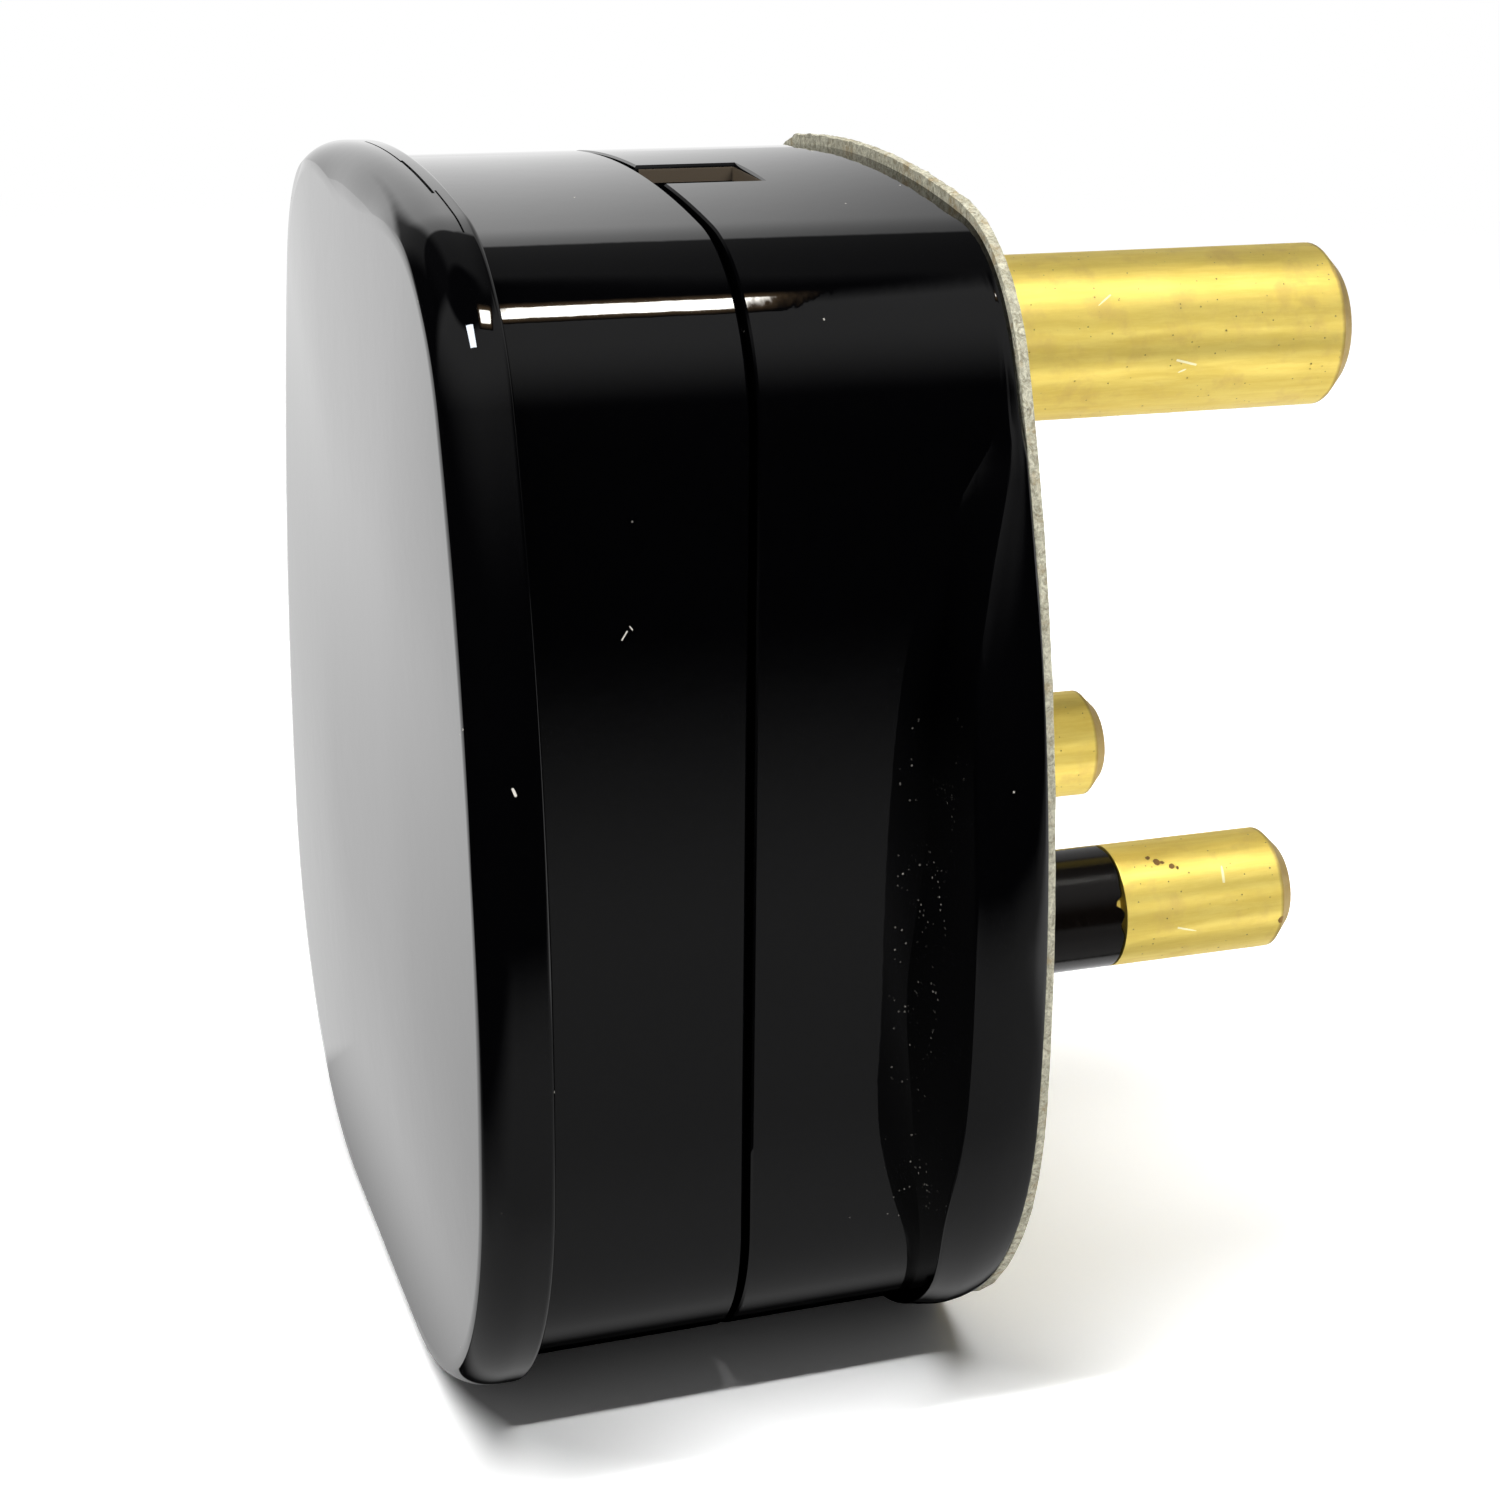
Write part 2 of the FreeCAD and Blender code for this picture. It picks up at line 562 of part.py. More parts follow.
def build_earth_pin():
    """Long pin in one turned piece with its collar and terminal pillar."""
    body = new_body("earth_pin")
    radius = "(sizes.earth_pin_diameter / 2)"
    neck = f"({radius} - sizes.neck_relief)"
    collar = "(sizes.earth_collar_diameter / 2)"
    pillar = "(sizes.earth_pillar_diameter / 2)"
    shoulder = "(sizes.earth_pin_length - sizes.tip_chamfer)"
    revolve(body, "profile", [
        (PILLAR_X, "0"), (PILLAR_X, pillar), (COLLAR_X, pillar), (COLLAR_X, collar), (FLOOR_X, collar),
        (FLOOR_X, neck), ("0", neck), ("0", radius), (shoulder, radius),
        ("sizes.earth_pin_length", f"({radius} - sizes.tip_chamfer)"), ("sizes.earth_pin_length", "0"),
    ])
    finish_terminal(body, XZ)
    place(body, EARTH_YZ)
    return body


def build_line_pin(label, spot):
    """Short pin, turned down along the stretch that its sleeve covers."""
    body = new_body(label)
    radius = "(sizes.line_pin_diameter / 2)"
    neck = f"({radius} - sizes.sleeve_wall)"
    collar = "(sizes.line_collar_diameter / 2)"
    pillar = "(sizes.line_pillar_diameter / 2)"
    shoulder = "(sizes.line_pin_length - sizes.tip_chamfer)"
    revolve(body, "profile", [
        (PILLAR_X, "0"), (PILLAR_X, pillar), (COLLAR_X, pillar), (COLLAR_X, collar), (FLOOR_X, collar),
        (FLOOR_X, neck), ("sizes.sleeve_length", neck), ("sizes.sleeve_length", radius), (shoulder, radius),
        ("sizes.line_pin_length", f"({radius} - sizes.tip_chamfer)"), ("sizes.line_pin_length", "0"),
    ])
    finish_terminal(body, XY)
    place(body, spot)
    return body


def build_sleeve(label, spot):
    """Insulating tube, flush with the pin outside the card, from the terminal's collar to the bare brass."""
    body = new_body(label)
    outer = "(sizes.line_pin_diameter / 2)"
    relieved = f"({outer} - sizes.neck_relief)"
    inner = f"({outer} - sizes.sleeve_wall + sizes.sleeve_clearance)"
    revolve(body, "profile", [
        (FLOOR_X, inner), (FLOOR_X, relieved), ("0", relieved), ("0", outer),
        ("sizes.sleeve_length", outer), ("sizes.sleeve_length", inner),
    ])
    place(body, spot)
    return body


def build_screw(label, spot, seat, direction, head, height, shank, length):
    """Slotted screw whose head sits on the plane X = seat; direction is the way the shank points."""
    body = new_body(label)
    top = f"({seat} - {direction} * {height})"
    tip = f"({seat} + {direction} * {length})"
    revolve(body, "profile", [
        (top, "0"), (top, f"({head} / 2)"), (seat, f"({head} / 2)"), (seat, f"({shank} / 2)"),
        (tip, f"({shank} / 2)"), (tip, "0"),
    ])
    half_slot = "(sizes.slot_width / 2)"
    slot = rectangle(body, "slot_outline", YZ, top, f"-{head}", head, f"-{half_slot}", half_slot)
    pocket(body, "slot", slot, "sizes.slot_depth", backwards=direction == "-1")
    place(body, spot)
    return body


def build_nut():
    """Six-sided nut in the end of the cover's boss."""
    body = new_body("cover_nut")
    outline = polygon(body, "outline", YZ, COVER_BOSS_X, hexagon("sizes.nut_flats"))
    pad(body, "blank", outline, "sizes.nut_thickness", backwards=True)
    bore_round = SCREW_YZ + (with_room("sizes.cover_shank_diameter"),)
    drill(body, "bore", circles(body, "bore_round", YZ, COVER_BOSS_X, [bore_round]))
    return body


def build_grip_bar():
    """Bar across the two bosses that clamps the cord."""
    body = new_body("cord_grip_bar")
    end = "(sizes.grip_half_spacing + sizes.grip_bar_end)"
    low = "(-sizes.grip_drop - sizes.grip_bar_width / 2)"
    high = "(-sizes.grip_drop + sizes.grip_bar_width / 2)"
    outline = rectangle(body, "outline", YZ, GRIP_X, f"-{end}", end, low, high)
    pad(body, "bar", outline, "sizes.grip_bar_thickness", backwards=True)
    rounds = [spot + (with_room("sizes.grip_shank_diameter"),) for spot in (GRIP_NEAR_YZ, GRIP_FAR_YZ)]
    drill(body, "holes", circles(body, "hole_rounds", YZ, GRIP_X, rounds))
    return body


def build_screws():
    """Terminal screws, the cover screw and the two screws of the cord grip."""
    made = []
    for name, spot in (("earth", EARTH_YZ), ("line", LINE_YZ), ("neutral", NEUTRAL_YZ)):
        made.append(build_screw(
            f"{name}_terminal_screw", spot, PILLAR_X, "1", "sizes.terminal_head_diameter",
            "sizes.terminal_head_height", "sizes.terminal_shank_diameter", "sizes.terminal_shank_length"))
    made.append(build_screw(
        "cover_screw", SCREW_YZ, RECESS_X, "-1", "sizes.cover_head_diameter", "sizes.cover_head_height",
        "sizes.cover_shank_diameter", f"({RECESS_X} - {SHANK_END_X})"))
    bar_rear = f"({GRIP_X} - sizes.grip_bar_thickness)"
    for name, spot in (("near", GRIP_NEAR_YZ), ("far", GRIP_FAR_YZ)):
        made.append(build_screw(
            f"cord_grip_screw_{name}", spot, bar_rear, "1", "sizes.grip_head_diameter",
            "sizes.grip_head_height", "sizes.grip_shank_diameter", "sizes.grip_shank_length"))
    return made


def check(pieces):
    """Stop if any object failed or any sub-part has no valid solid."""
    doc.recompute()
    for item in doc.Objects:
        if "Invalid" in item.State or "Error" in item.State:
            raise RuntimeError(f"{item.Name} failed: {item.State}")
    for piece in pieces:
        shape = piece.Shape
        if shape.isNull() or not shape.isValid() or len(shape.Solids) != 1:
            raise RuntimeError(f"{piece.Label} is not one valid solid")


pieces = [
    build_base(),
    build_cover(),
    build_card(),
    build_earth_pin(),
    build_line_pin("line_pin", LINE_YZ),
    build_line_pin("neutral_pin", NEUTRAL_YZ),
    build_sleeve("line_sleeve", LINE_YZ),
    build_sleeve("neutral_sleeve", NEUTRAL_YZ),
    build_nut(),
    build_grip_bar(),
]
pieces += build_screws()
check(pieces)

os.makedirs("parts", exist_ok=True)
for piece in pieces:
    piece.Shape.exportStep(f"parts/{piece.Label}.step")
    print(piece.Label, "volume", round(piece.Shape.Volume, 1))
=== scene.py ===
# %% [markdown]
# # A round-pin plug in glossy black moulding and brass
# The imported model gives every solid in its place, in metres, with X out along the pins, Y across the plug
# and Z up. This lesson dresses it: first a camera and a plain stage, then the finishes, then the pieces
# whose edges and surfaces need more than the solids carry.

# %% Load the frame and keep its box
import math

import bmesh
import bpy
from mathutils import Matrix, Vector, noise


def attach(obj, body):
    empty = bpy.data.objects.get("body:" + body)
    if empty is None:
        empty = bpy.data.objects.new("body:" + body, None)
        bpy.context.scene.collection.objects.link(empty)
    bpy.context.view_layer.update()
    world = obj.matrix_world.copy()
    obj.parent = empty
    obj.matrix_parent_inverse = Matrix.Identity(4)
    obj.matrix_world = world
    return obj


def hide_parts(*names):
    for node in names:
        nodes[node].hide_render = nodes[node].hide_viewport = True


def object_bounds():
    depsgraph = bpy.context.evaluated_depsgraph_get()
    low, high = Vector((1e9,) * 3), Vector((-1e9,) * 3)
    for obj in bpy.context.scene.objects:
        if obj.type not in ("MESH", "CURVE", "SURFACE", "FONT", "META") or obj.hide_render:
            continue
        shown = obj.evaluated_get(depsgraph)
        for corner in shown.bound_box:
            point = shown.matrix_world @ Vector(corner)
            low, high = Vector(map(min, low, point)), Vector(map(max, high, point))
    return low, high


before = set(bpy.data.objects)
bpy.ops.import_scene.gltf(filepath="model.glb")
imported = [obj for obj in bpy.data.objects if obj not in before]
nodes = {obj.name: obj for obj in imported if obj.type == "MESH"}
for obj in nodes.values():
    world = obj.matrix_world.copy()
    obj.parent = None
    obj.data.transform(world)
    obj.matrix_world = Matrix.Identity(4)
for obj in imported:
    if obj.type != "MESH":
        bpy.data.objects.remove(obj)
cad_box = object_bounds()
scene = bpy.context.scene
MM = 0.001
print("nodes:", len(nodes), "box in mm:", [round(side / MM, 1) for side in cad_box[1] - cad_box[0]])

# %% [markdown]
# ## Camera
# The plug was pictured from close by, slightly above it and from its rear left, so the near edges look
# larger than the far ones. The camera therefore stands at the real distance of about twelve centimetres,
# and a small shift frames the plug as the picture does. A camera further away with a longer lens would
# flatten the back face too much.

# %% Camera at the picture's viewing angle
SENSOR = 36.0
LENS = 69.1
SHIFT = (-0.0896, -0.054)
CLIP = (1 * MM, 10.0)
CAMERA_PLACE = Vector((-41.0, -110.78, 24.52)) * MM
CAMERA_AZIMUTH = math.radians(20.566)
CAMERA_DIP = math.radians(18.135)
CAMERA_ROLL = math.radians(1.424)

camera = bpy.data.objects.new("camera", bpy.data.cameras.new("camera"))
scene.collection.objects.link(camera)
camera.data.sensor_width = SENSOR
camera.data.lens = LENS
camera.data.shift_x, camera.data.shift_y = SHIFT
camera.data.clip_start, camera.data.clip_end = CLIP
forward = Vector((
    math.sin(CAMERA_AZIMUTH) * math.cos(CAMERA_DIP),
    math.cos(CAMERA_AZIMUTH) * math.cos(CAMERA_DIP),
    -math.sin(CAMERA_DIP),
))
level_right = forward.cross(Vector((0, 0, 1))).normalized()
level_up = level_right.cross(forward)
right = level_right * math.cos(CAMERA_ROLL) + level_up * math.sin(CAMERA_ROLL)
up = right.cross(forward)
turned = Matrix((right, up, -forward)).transposed()
camera.matrix_world = Matrix.Translation(CAMERA_PLACE) @ turned.to_4x4()
scene.camera = camera
scene.view_settings.view_transform = "Standard"
print("camera looks down by", round(math.degrees(CAMERA_DIP), 1), "degrees")

# %% [markdown]
# ## Node helpers
# Every finish below is a small graph of shader nodes. A few helpers keep the graphs readable: one places a
# node and fills its sockets, whether from a number or from another node, the next ones do sums with values
# and colours, and the last ones open a node group with named sockets, so that an effect that several
# finishes share is built once.

# %% Helpers that place nodes
def fill(tree, made, inputs):
    """Fill a node's inputs with numbers or with other nodes' outputs."""
    for name, given in inputs.items():
        if isinstance(given, bpy.types.NodeSocket):
            tree.links.new(given, made.inputs[name])
        else:
            made.inputs[name].default_value = given
    return made


def place(tree, kind, inputs=None, **settings):
    """Add a shader node of a kind, set its options and fill its inputs."""
    made = tree.nodes.new("ShaderNode" + kind)
    for name, choice in settings.items():
        setattr(made, name, choice)
    return fill(tree, made, inputs or {})


def bare_material(name):
    """A material with an empty tree; gives both."""
    made = bpy.data.materials.new(name)
    made.use_nodes = True
    made.node_tree.nodes.clear()
    return made, made.node_tree


def surface(tree, shader):
    """Let a shader's output be the surface."""
    place(tree, "OutputMaterial", {"Surface": shader})


def split(tree, where):
    """The three axes of a place or a direction."""
    return place(tree, "SeparateXYZ", {0: where}).outputs


def object_place(tree):
    """Object coordinates, in metres."""
    return place(tree, "TexCoord").outputs["Object"]


print("helpers that place nodes are ready")

# %% Helpers that do sums
def math_node(tree, operation, first, second=0.0, clamp=False):
    """One Math node; gives its output."""
    made = place(tree, "Math", {0: first, 1: second}, operation=operation, use_clamp=clamp)
    return made.outputs[0]


def combine(tree, operation, values):
    """Several values put together two by two."""
    result = values[0]
    for value in values[1:]:
        result = math_node(tree, operation, result, value)
    return result


def product(tree, *factors):
    """All the factors multiplied."""
    return combine(tree, "MULTIPLY", factors)


def largest(tree, *masks):
    """The largest of the masks."""
    return combine(tree, "MAXIMUM", masks)


def ramp(tree, value, low, high, low_gives=0.0, high_gives=1.0):
    """A smooth change from one value to another between two limits."""
    made = place(tree, "MapRange", {
        "Value": value, "From Min": low, "From Max": high, "To Min": low_gives, "To Max": high_gives,
    }, interpolation_type="SMOOTHSTEP")
    return made.outputs["Result"]


def blend(tree, share, first, second):
    """A number between two numbers, by a share from 0 to 1."""
    return place(tree, "Mix", {0: share, 2: first, 3: second}).outputs[0]


def blend_colours(tree, share, first, second):
    """A colour between two colours, by a share from 0 to 1."""
    return place(tree, "Mix", {0: share, 6: first, 7: second}, data_type="RGBA").outputs[2]


print("helpers that do sums are ready")

# %% Helpers that open and use node groups
VECTOR, FLOAT = "NodeSocketVector", "NodeSocketFloat"


def open_group(name, inputs, output):
    """A new shader node group with one number out; gives the group, what it is given and its result."""
    group = bpy.data.node_groups.new(name, "ShaderNodeTree")
    for label, (kind, default) in inputs.items():
        group.interface.new_socket(label, in_out="INPUT", socket_type=kind).default_value = default
    group.interface.new_socket(output, in_out="OUTPUT", socket_type=FLOAT)
    given = group.nodes.new("NodeGroupInput").outputs
    return group, given, group.nodes.new("NodeGroupOutput").inputs[output]


def use_group(tree, group, inputs):
    """Place a node group in a material with its own values; gives its output."""
    return place(tree, "Group", inputs, node_tree=group).outputs[0]


print("helpers for groups are ready")

# %% [markdown]
# ## Stage and light
# The plug stands on white paper in front of a white backdrop. Black gloss shows almost nothing but what
# it mirrors, so the surroundings matter more than the lamps: white behind and to the left, and a dark room
# behind the camera. The world shader paints those by direction. A long tube lamp overhead gives the soft
# straight shadow on the paper, and broad suns that no gloss mirrors light what is matt.

# %% World that is plain for matt surfaces and painted for mirrored ones
PLAIN_LIGHT = 0.12
WHITE = (1.0, 1.0, 1.0, 1.0)
FRONT_EDGE = 0.10
# Each change along an axis of the direction: where it starts and ends, and what it gives before and after.
BACKDROP = (0.690, 0.725, 1.15, 0.16)
CEILING = (0.945, 0.975, 1.0, 0.0)
RIGHT_SIDE = (0.20, 0.42, 1.0, 0.34)
LEFT_SIDE = (-0.62, -0.40, 0.03, 1.0)
UPPER_LEFT = (-0.24, -0.08, 0.14, 1.0)
UPPER = (0.20, 0.32)
ROOM_GLOW = (0.20, 0.80, 0.0, 0.50)
ROOM_TOP = (0.90, 0.94, 1.0, 0.0)

world = bpy.data.worlds.new("studio")
scene.world = world
world.use_nodes = True
sky = world.node_tree
sky.nodes.clear()
across, ahead, height = split(sky, place(sky, "TexCoord").outputs["Generated"])
upper_left = blend(sky, ramp(sky, height, *UPPER), 1.0, ramp(sky, across, *UPPER_LEFT))
studio_wall = product(
    sky, ramp(sky, height, *BACKDROP), ramp(sky, height, *CEILING),
    ramp(sky, across, *RIGHT_SIDE), ramp(sky, across, *LEFT_SIDE), upper_left)
room = product(sky, ramp(sky, height, *ROOM_GLOW), ramp(sky, height, *ROOM_TOP))
painted = blend(sky, ramp(sky, ahead, -FRONT_EDGE, FRONT_EDGE), room, studio_wall)
ray = place(sky, "LightPath").outputs
lit = blend(sky, ray["Is Glossy Ray"], PLAIN_LIGHT, painted)
shown = blend(sky, ray["Is Camera Ray"], lit, 1.0)
studio_light = place(sky, "Background", {"Color": WHITE, "Strength": shown})
place(sky, "OutputWorld", {"Surface": studio_light.outputs[0]})
print("world made")

# %% Lamps
TUBE_LAMP = (3.5, 227, 72.0, 0.62)
TUBE_SIZE = (0.70, 0.025)
# Each sun: its strength, and its azimuth, elevation and spread in degrees.
MATT_SUNS = {
    "soft_top_lamp": (0.9, -72, 72, 30), "front_fill": (1.7, 165, 25, 20), "left_fill": (1.3, -84, 40, 20),
}
METAL_SUNS = {
    "low_fill": (0.46, 146, 8, 2), "high_fill": (0.14, 132, 72, 2), "under_fill": (0.28, 152, -38, 2),
}


def add_lamp(name, kind, energy, azimuth, elevation, distance=1.0):
    """A lamp round the middle of the plug, turned towards it; azimuth is from +Y towards +X."""
    lamp = bpy.data.objects.new(name, bpy.data.lights.new(name, kind))
    lamp.data.energy = energy
    turn, rise = math.radians(azimuth), math.radians(elevation)
    away = Vector((math.sin(turn) * math.cos(rise), math.cos(turn) * math.cos(rise), math.sin(rise)))
    lamp.location = (cad_box[0] + cad_box[1]) / 2 + away * distance
    lamp.rotation_mode = "QUATERNION"
    lamp.rotation_quaternion = (-away).to_track_quat("-Z", "Y")
    scene.collection.objects.link(lamp)
    return lamp


def add_sun(name, energy, azimuth, elevation, spread):
    """A sun with the given spread."""
    lamp = add_lamp(name, "SUN", energy, azimuth, elevation)
    lamp.data.angle = math.radians(spread)
    return lamp


overhead = add_lamp("overhead_tube", "AREA", *TUBE_LAMP)
overhead.rotation_mode = "XYZ"
overhead.rotation_euler = (0.0, 0.0, 0.0)
overhead.data.shape = "RECTANGLE"
overhead.data.size, overhead.data.size_y = TUBE_SIZE
soft_top, front_fill, left_fill = [add_sun(name, *values) for name, values in MATT_SUNS.items()]
fills = [add_sun(name, *values) for name, values in METAL_SUNS.items()]
for lamp in (overhead, soft_top, front_fill, left_fill):
    lamp.visible_glossy = False

# %% [markdown]
# ## Paper and cards
# The camera sees the paper as matt white with the plug's shadow on it, and plain white further off. Gloss
# sees the paper as an even glow, dark under the plug. Four cards are seen by gloss alone: two that dim the
# paper in front and to the left, and two bright ones high in front, which show as the strip on the shoulder
# and as a glint on the rim.

# %% White paper
FLOOR_HALF = 1.5
PAPER_SEEN = 1.45
PAPER_BOUNCE = 0.86
PAPER_MIRRORED = 1.05
PAPER_LEFT = 1.36
PAPER_PLAIN = (0.12, 0.30)
LEFT_OF_PLUG = (-46 * MM, -28 * MM)
BESIDE_PLUG = (16 * MM, 22 * MM)
BEYOND_BACK = (-19 * MM, -25 * MM)
BEYOND_PINS = (0 * MM, 6 * MM)


def glow(tree, strength, colour=WHITE):
    """An emission; gives its output."""
    return place(tree, "Emission", {"Color": colour, "Strength": strength}).outputs[0]


def add_shaders(tree, first, second):
    """Two shaders on top of each other."""
    return place(tree, "AddShader", {0: first, 1: second}).outputs[0]


paper, tree = bare_material("white_paper")
ray = place(tree, "LightPath").outputs
seen = ray["Is Camera Ray"]
bounced = largest(tree, ray["Is Glossy Ray"], ray["Is Transmission Ray"])
on_paper = object_place(tree)
paper_x, paper_y, _ = split(tree, on_paper)
reach = place(tree, "VectorMath", {0: on_paper}, operation="LENGTH").outputs["Value"]
whiteness = blend(tree, seen, PAPER_BOUNCE, ramp(tree, reach, *PAPER_PLAIN, PAPER_SEEN, 0.0))
matt = place(tree, "BsdfDiffuse", {"Color": blend(tree, bounced, whiteness, 0.0)}).outputs[0]
in_open = largest(
    tree, ramp(tree, math_node(tree, "ABSOLUTE", paper_y), *BESIDE_PLUG),
    ramp(tree, paper_x, *BEYOND_BACK), ramp(tree, paper_x, *BEYOND_PINS))
mirrored = product(
    tree, ramp(tree, paper_x, *LEFT_OF_PLUG, PAPER_LEFT, PAPER_MIRRORED), in_open, bounced)
plain = product(tree, seen, ramp(tree, reach, *PAPER_PLAIN))
surface(tree, add_shaders(tree, matt, glow(tree, math_node(tree, "ADD", mirrored, plain))))
print("paper made")

# %% Cards that dim the mirrored paper
SHADE_BACK = -12 * MM
SHADE_SOFT = 14 * MM
LEFT_EDGE = -62 * MM
LEFT_BACK = 40 * MM
EDGE_SOFT = 22 * MM
FAR_FADE = (-118 * MM, -58 * MM, 0.0, 0.32)
NEAR_GAIN = (-40 * MM, -27 * MM, 0.0, 0.10)
CONTACT = (-14.8 * MM, -12.6 * MM, 1.0, 0.02)
LEFT_FADE = (-58 * MM, -30 * MM)
RIGHT_GAIN = (24 * MM, 44 * MM, 0.0, 0.75)
RIGHT_FADE = (-72 * MM, -46 * MM)

front_dim, tree = bare_material("front_shade")
card_x, card_y, _ = split(tree, object_place(tree))
left_fade = ramp(tree, card_x, *LEFT_FADE)
ahead_of_plug = combine(tree, "ADD", [ramp(tree, card_y, *change) for change in (FAR_FADE, NEAR_GAIN)])
ahead_of_plug = product(tree, ahead_of_plug, left_fade, ramp(tree, card_y, *CONTACT))
right_gain = product(tree, ramp(tree, card_x, *RIGHT_GAIN), ramp(tree, card_y, *RIGHT_FADE))
back_soft = product(
    tree, ramp(tree, card_y, SHADE_BACK - SHADE_SOFT, SHADE_BACK, 0.0, PAPER_LEFT),
    ramp(tree, card_x, LEFT_EDGE - EDGE_SOFT, LEFT_EDGE), math_node(tree, "SUBTRACT", 1.0, left_fade))
surface(tree, glow(tree, combine(tree, "ADD", (ahead_of_plug, right_gain, back_soft))))

left_dim, tree = bare_material("left_shade")
card_x, card_y, _ = split(tree, object_place(tree))
edge = largest(tree, ramp(tree, card_x, LEFT_EDGE - EDGE_SOFT, LEFT_EDGE),
               ramp(tree, card_y, LEFT_BACK - EDGE_SOFT, LEFT_BACK))
surface(tree, glow(tree, product(tree, edge, PAPER_LEFT)))
print("dim cards end", round(SHADE_BACK / MM), "mm across and", round(LEFT_EDGE / MM), "mm along")

# %% Bright cards
STRIP = {"middle": (0.1396, -0.1643), "core": (0.026, 0.031), "core_soft": (0.036, 0.043),
         "halo": (0.048, 0.078)}
STRIP_WHITE = {"colour": (1.0, 0.98, 0.92, 1.0), "strength": 60.0}
STRIP_WARM = {"colour": (1.0, 0.66, 0.36, 1.0), "strength": 1.8}
WINDOW = {"colour": (0.86, 0.92, 1.0, 1.0), "strength": 34.0}

strip_light, tree = bare_material("strip_light")
core, halo = STRIP_WHITE["strength"], STRIP_WARM["strength"]
for spot, middle, core_end, soft_end, halo_end in zip(split(tree, object_place(tree)), *STRIP.values()):
    away = math_node(tree, "ABSOLUTE", math_node(tree, "SUBTRACT", spot, middle))
    core = product(tree, core, ramp(tree, away, core_end, soft_end, 1.0, 0.0))
    halo = product(tree, halo, ramp(tree, away, core_end, halo_end, 1.0, 0.0))
surface(tree, add_shaders(
    tree, glow(tree, core, STRIP_WHITE["colour"]), glow(tree, halo, STRIP_WARM["colour"])))
window_light, tree = bare_material("window_light")
surface(tree, glow(tree, **WINDOW))
print("bright cards' light made")

# %% Lay the paper and hang the cards
SHADE_RISE = 0.05 * MM
CARD_HEIGHT = 0.565
GLINT = ((-0.095, -0.355), (0.015, -0.215))
floor_height = cad_box[0].z
shade_height = floor_height + SHADE_RISE


def new_piece(name, sheet):
    """Make an object of a bmesh, linked to the scene."""
    mesh = bpy.data.meshes.new(name)
    sheet.to_mesh(mesh)
    sheet.free()
    made = bpy.data.objects.new(name, mesh)
    scene.collection.objects.link(made)
    return made


def flat_piece(name, low, high, z, material):
    """A level rectangle between two corners."""
    sheet = bmesh.new()
    bmesh.ops.create_grid(sheet, x_segments=1, y_segments=1, size=0.5)
    bmesh.ops.scale(sheet, vec=(high[0] - low[0], high[1] - low[1], 1.0), verts=sheet.verts)
    bmesh.ops.translate(sheet, vec=((low[0] + high[0]) / 2, (low[1] + high[1]) / 2, z), verts=sheet.verts)
    made = new_piece(name, sheet)
    made.data.materials.append(material)
    return made


strip_corners = [[middle + side * wide for middle, wide in zip(STRIP["middle"], STRIP["halo"])]
                 for side in (-1, 1)]
flat_piece("floor", (-FLOOR_HALF, -FLOOR_HALF), (FLOOR_HALF, FLOOR_HALF), floor_height, paper)
cards = [
    flat_piece("front_shade", (-FLOOR_HALF, -FLOOR_HALF), (FLOOR_HALF, SHADE_BACK), shade_height, front_dim),
    flat_piece("left_shade", (-FLOOR_HALF, SHADE_BACK), (LEFT_EDGE, LEFT_BACK), shade_height, left_dim),
    flat_piece("strip_card", *strip_corners, CARD_HEIGHT, strip_light),
    flat_piece("glint_card", *GLINT, CARD_HEIGHT, window_light),
]
for mirrored_only in cards:
    mirrored_only.visible_camera = False
    mirrored_only.visible_diffuse = False
    mirrored_only.visible_shadow = False
print("floor at", round(floor_height / MM, 1), "mm, cards that only the gloss shows:", len(cards))

# %% [markdown]
# ## Black moulding
# The two halves are pressed from black resin with a polished mould, so the colour is nearly nothing and
# the gloss does the work. Age shows as faint smears that dull the gloss, as dust, and as short scratches.
# The smears, the dust and the scratches are groups, because the brass and the fibre share them.

# %% Groups for smears and dust
MILLIMETRES = (1 / MM, 1 / MM, 1 / MM)
NOWHERE = (VECTOR, (0, 0, 0))
SMEAR_EDGE = (0.38, 0.72)


def object_millimetres(tree):
    """Object coordinates in millimetres."""
    return place(tree, "Mapping", {"Vector": object_place(tree), "Scale": MILLIMETRES}).outputs[0]


def clouds(tree, where, scale, detail, roughness=0.5, distortion=0.0):
    """Noise over a place; gives its value."""
    return place(tree, "TexNoise", {
        "Vector": where, "Scale": scale, "Detail": detail, "Roughness": roughness, "Distortion": distortion,
    }).outputs["Fac"]


smear, given, result = open_group("smears", {
    "Where": NOWHERE, "Size": (FLOAT, 0.2), "Low": (FLOAT, 0.05), "High": (FLOAT, 0.15)}, "Roughness")
smear_cloud = clouds(smear, given["Where"], given["Size"], 6.0, 0.62)
smear.links.new(ramp(smear, smear_cloud, *SMEAR_EDGE, given["Low"], given["High"]), result)

dust, given, result = open_group("dust", {
    "Where": NOWHERE, "Grains per mm": (FLOAT, 1.0), "Grain size": (FLOAT, 0.08),
    "Share": (FLOAT, 0.1)}, "Mask")
cells = place(dust, "TexVoronoi", {
    "Vector": given["Where"], "Scale": given["Grains per mm"], "Randomness": 1.0}).outputs
chance = place(dust, "SeparateColor", {0: cells["Color"]}).outputs[0]
kept = math_node(dust, "LESS_THAN", chance, given["Share"])
grain = ramp(dust, cells["Distance"], 0.0, given["Grain size"], 1.0, 0.0)
dust.links.new(product(dust, kept, grain), result)


def smeared(tree, where, size, low, high):
    """Roughness that drifts between two values."""
    return use_group(tree, smear, {"Where": where, "Size": size, "Low": low, "High": high})


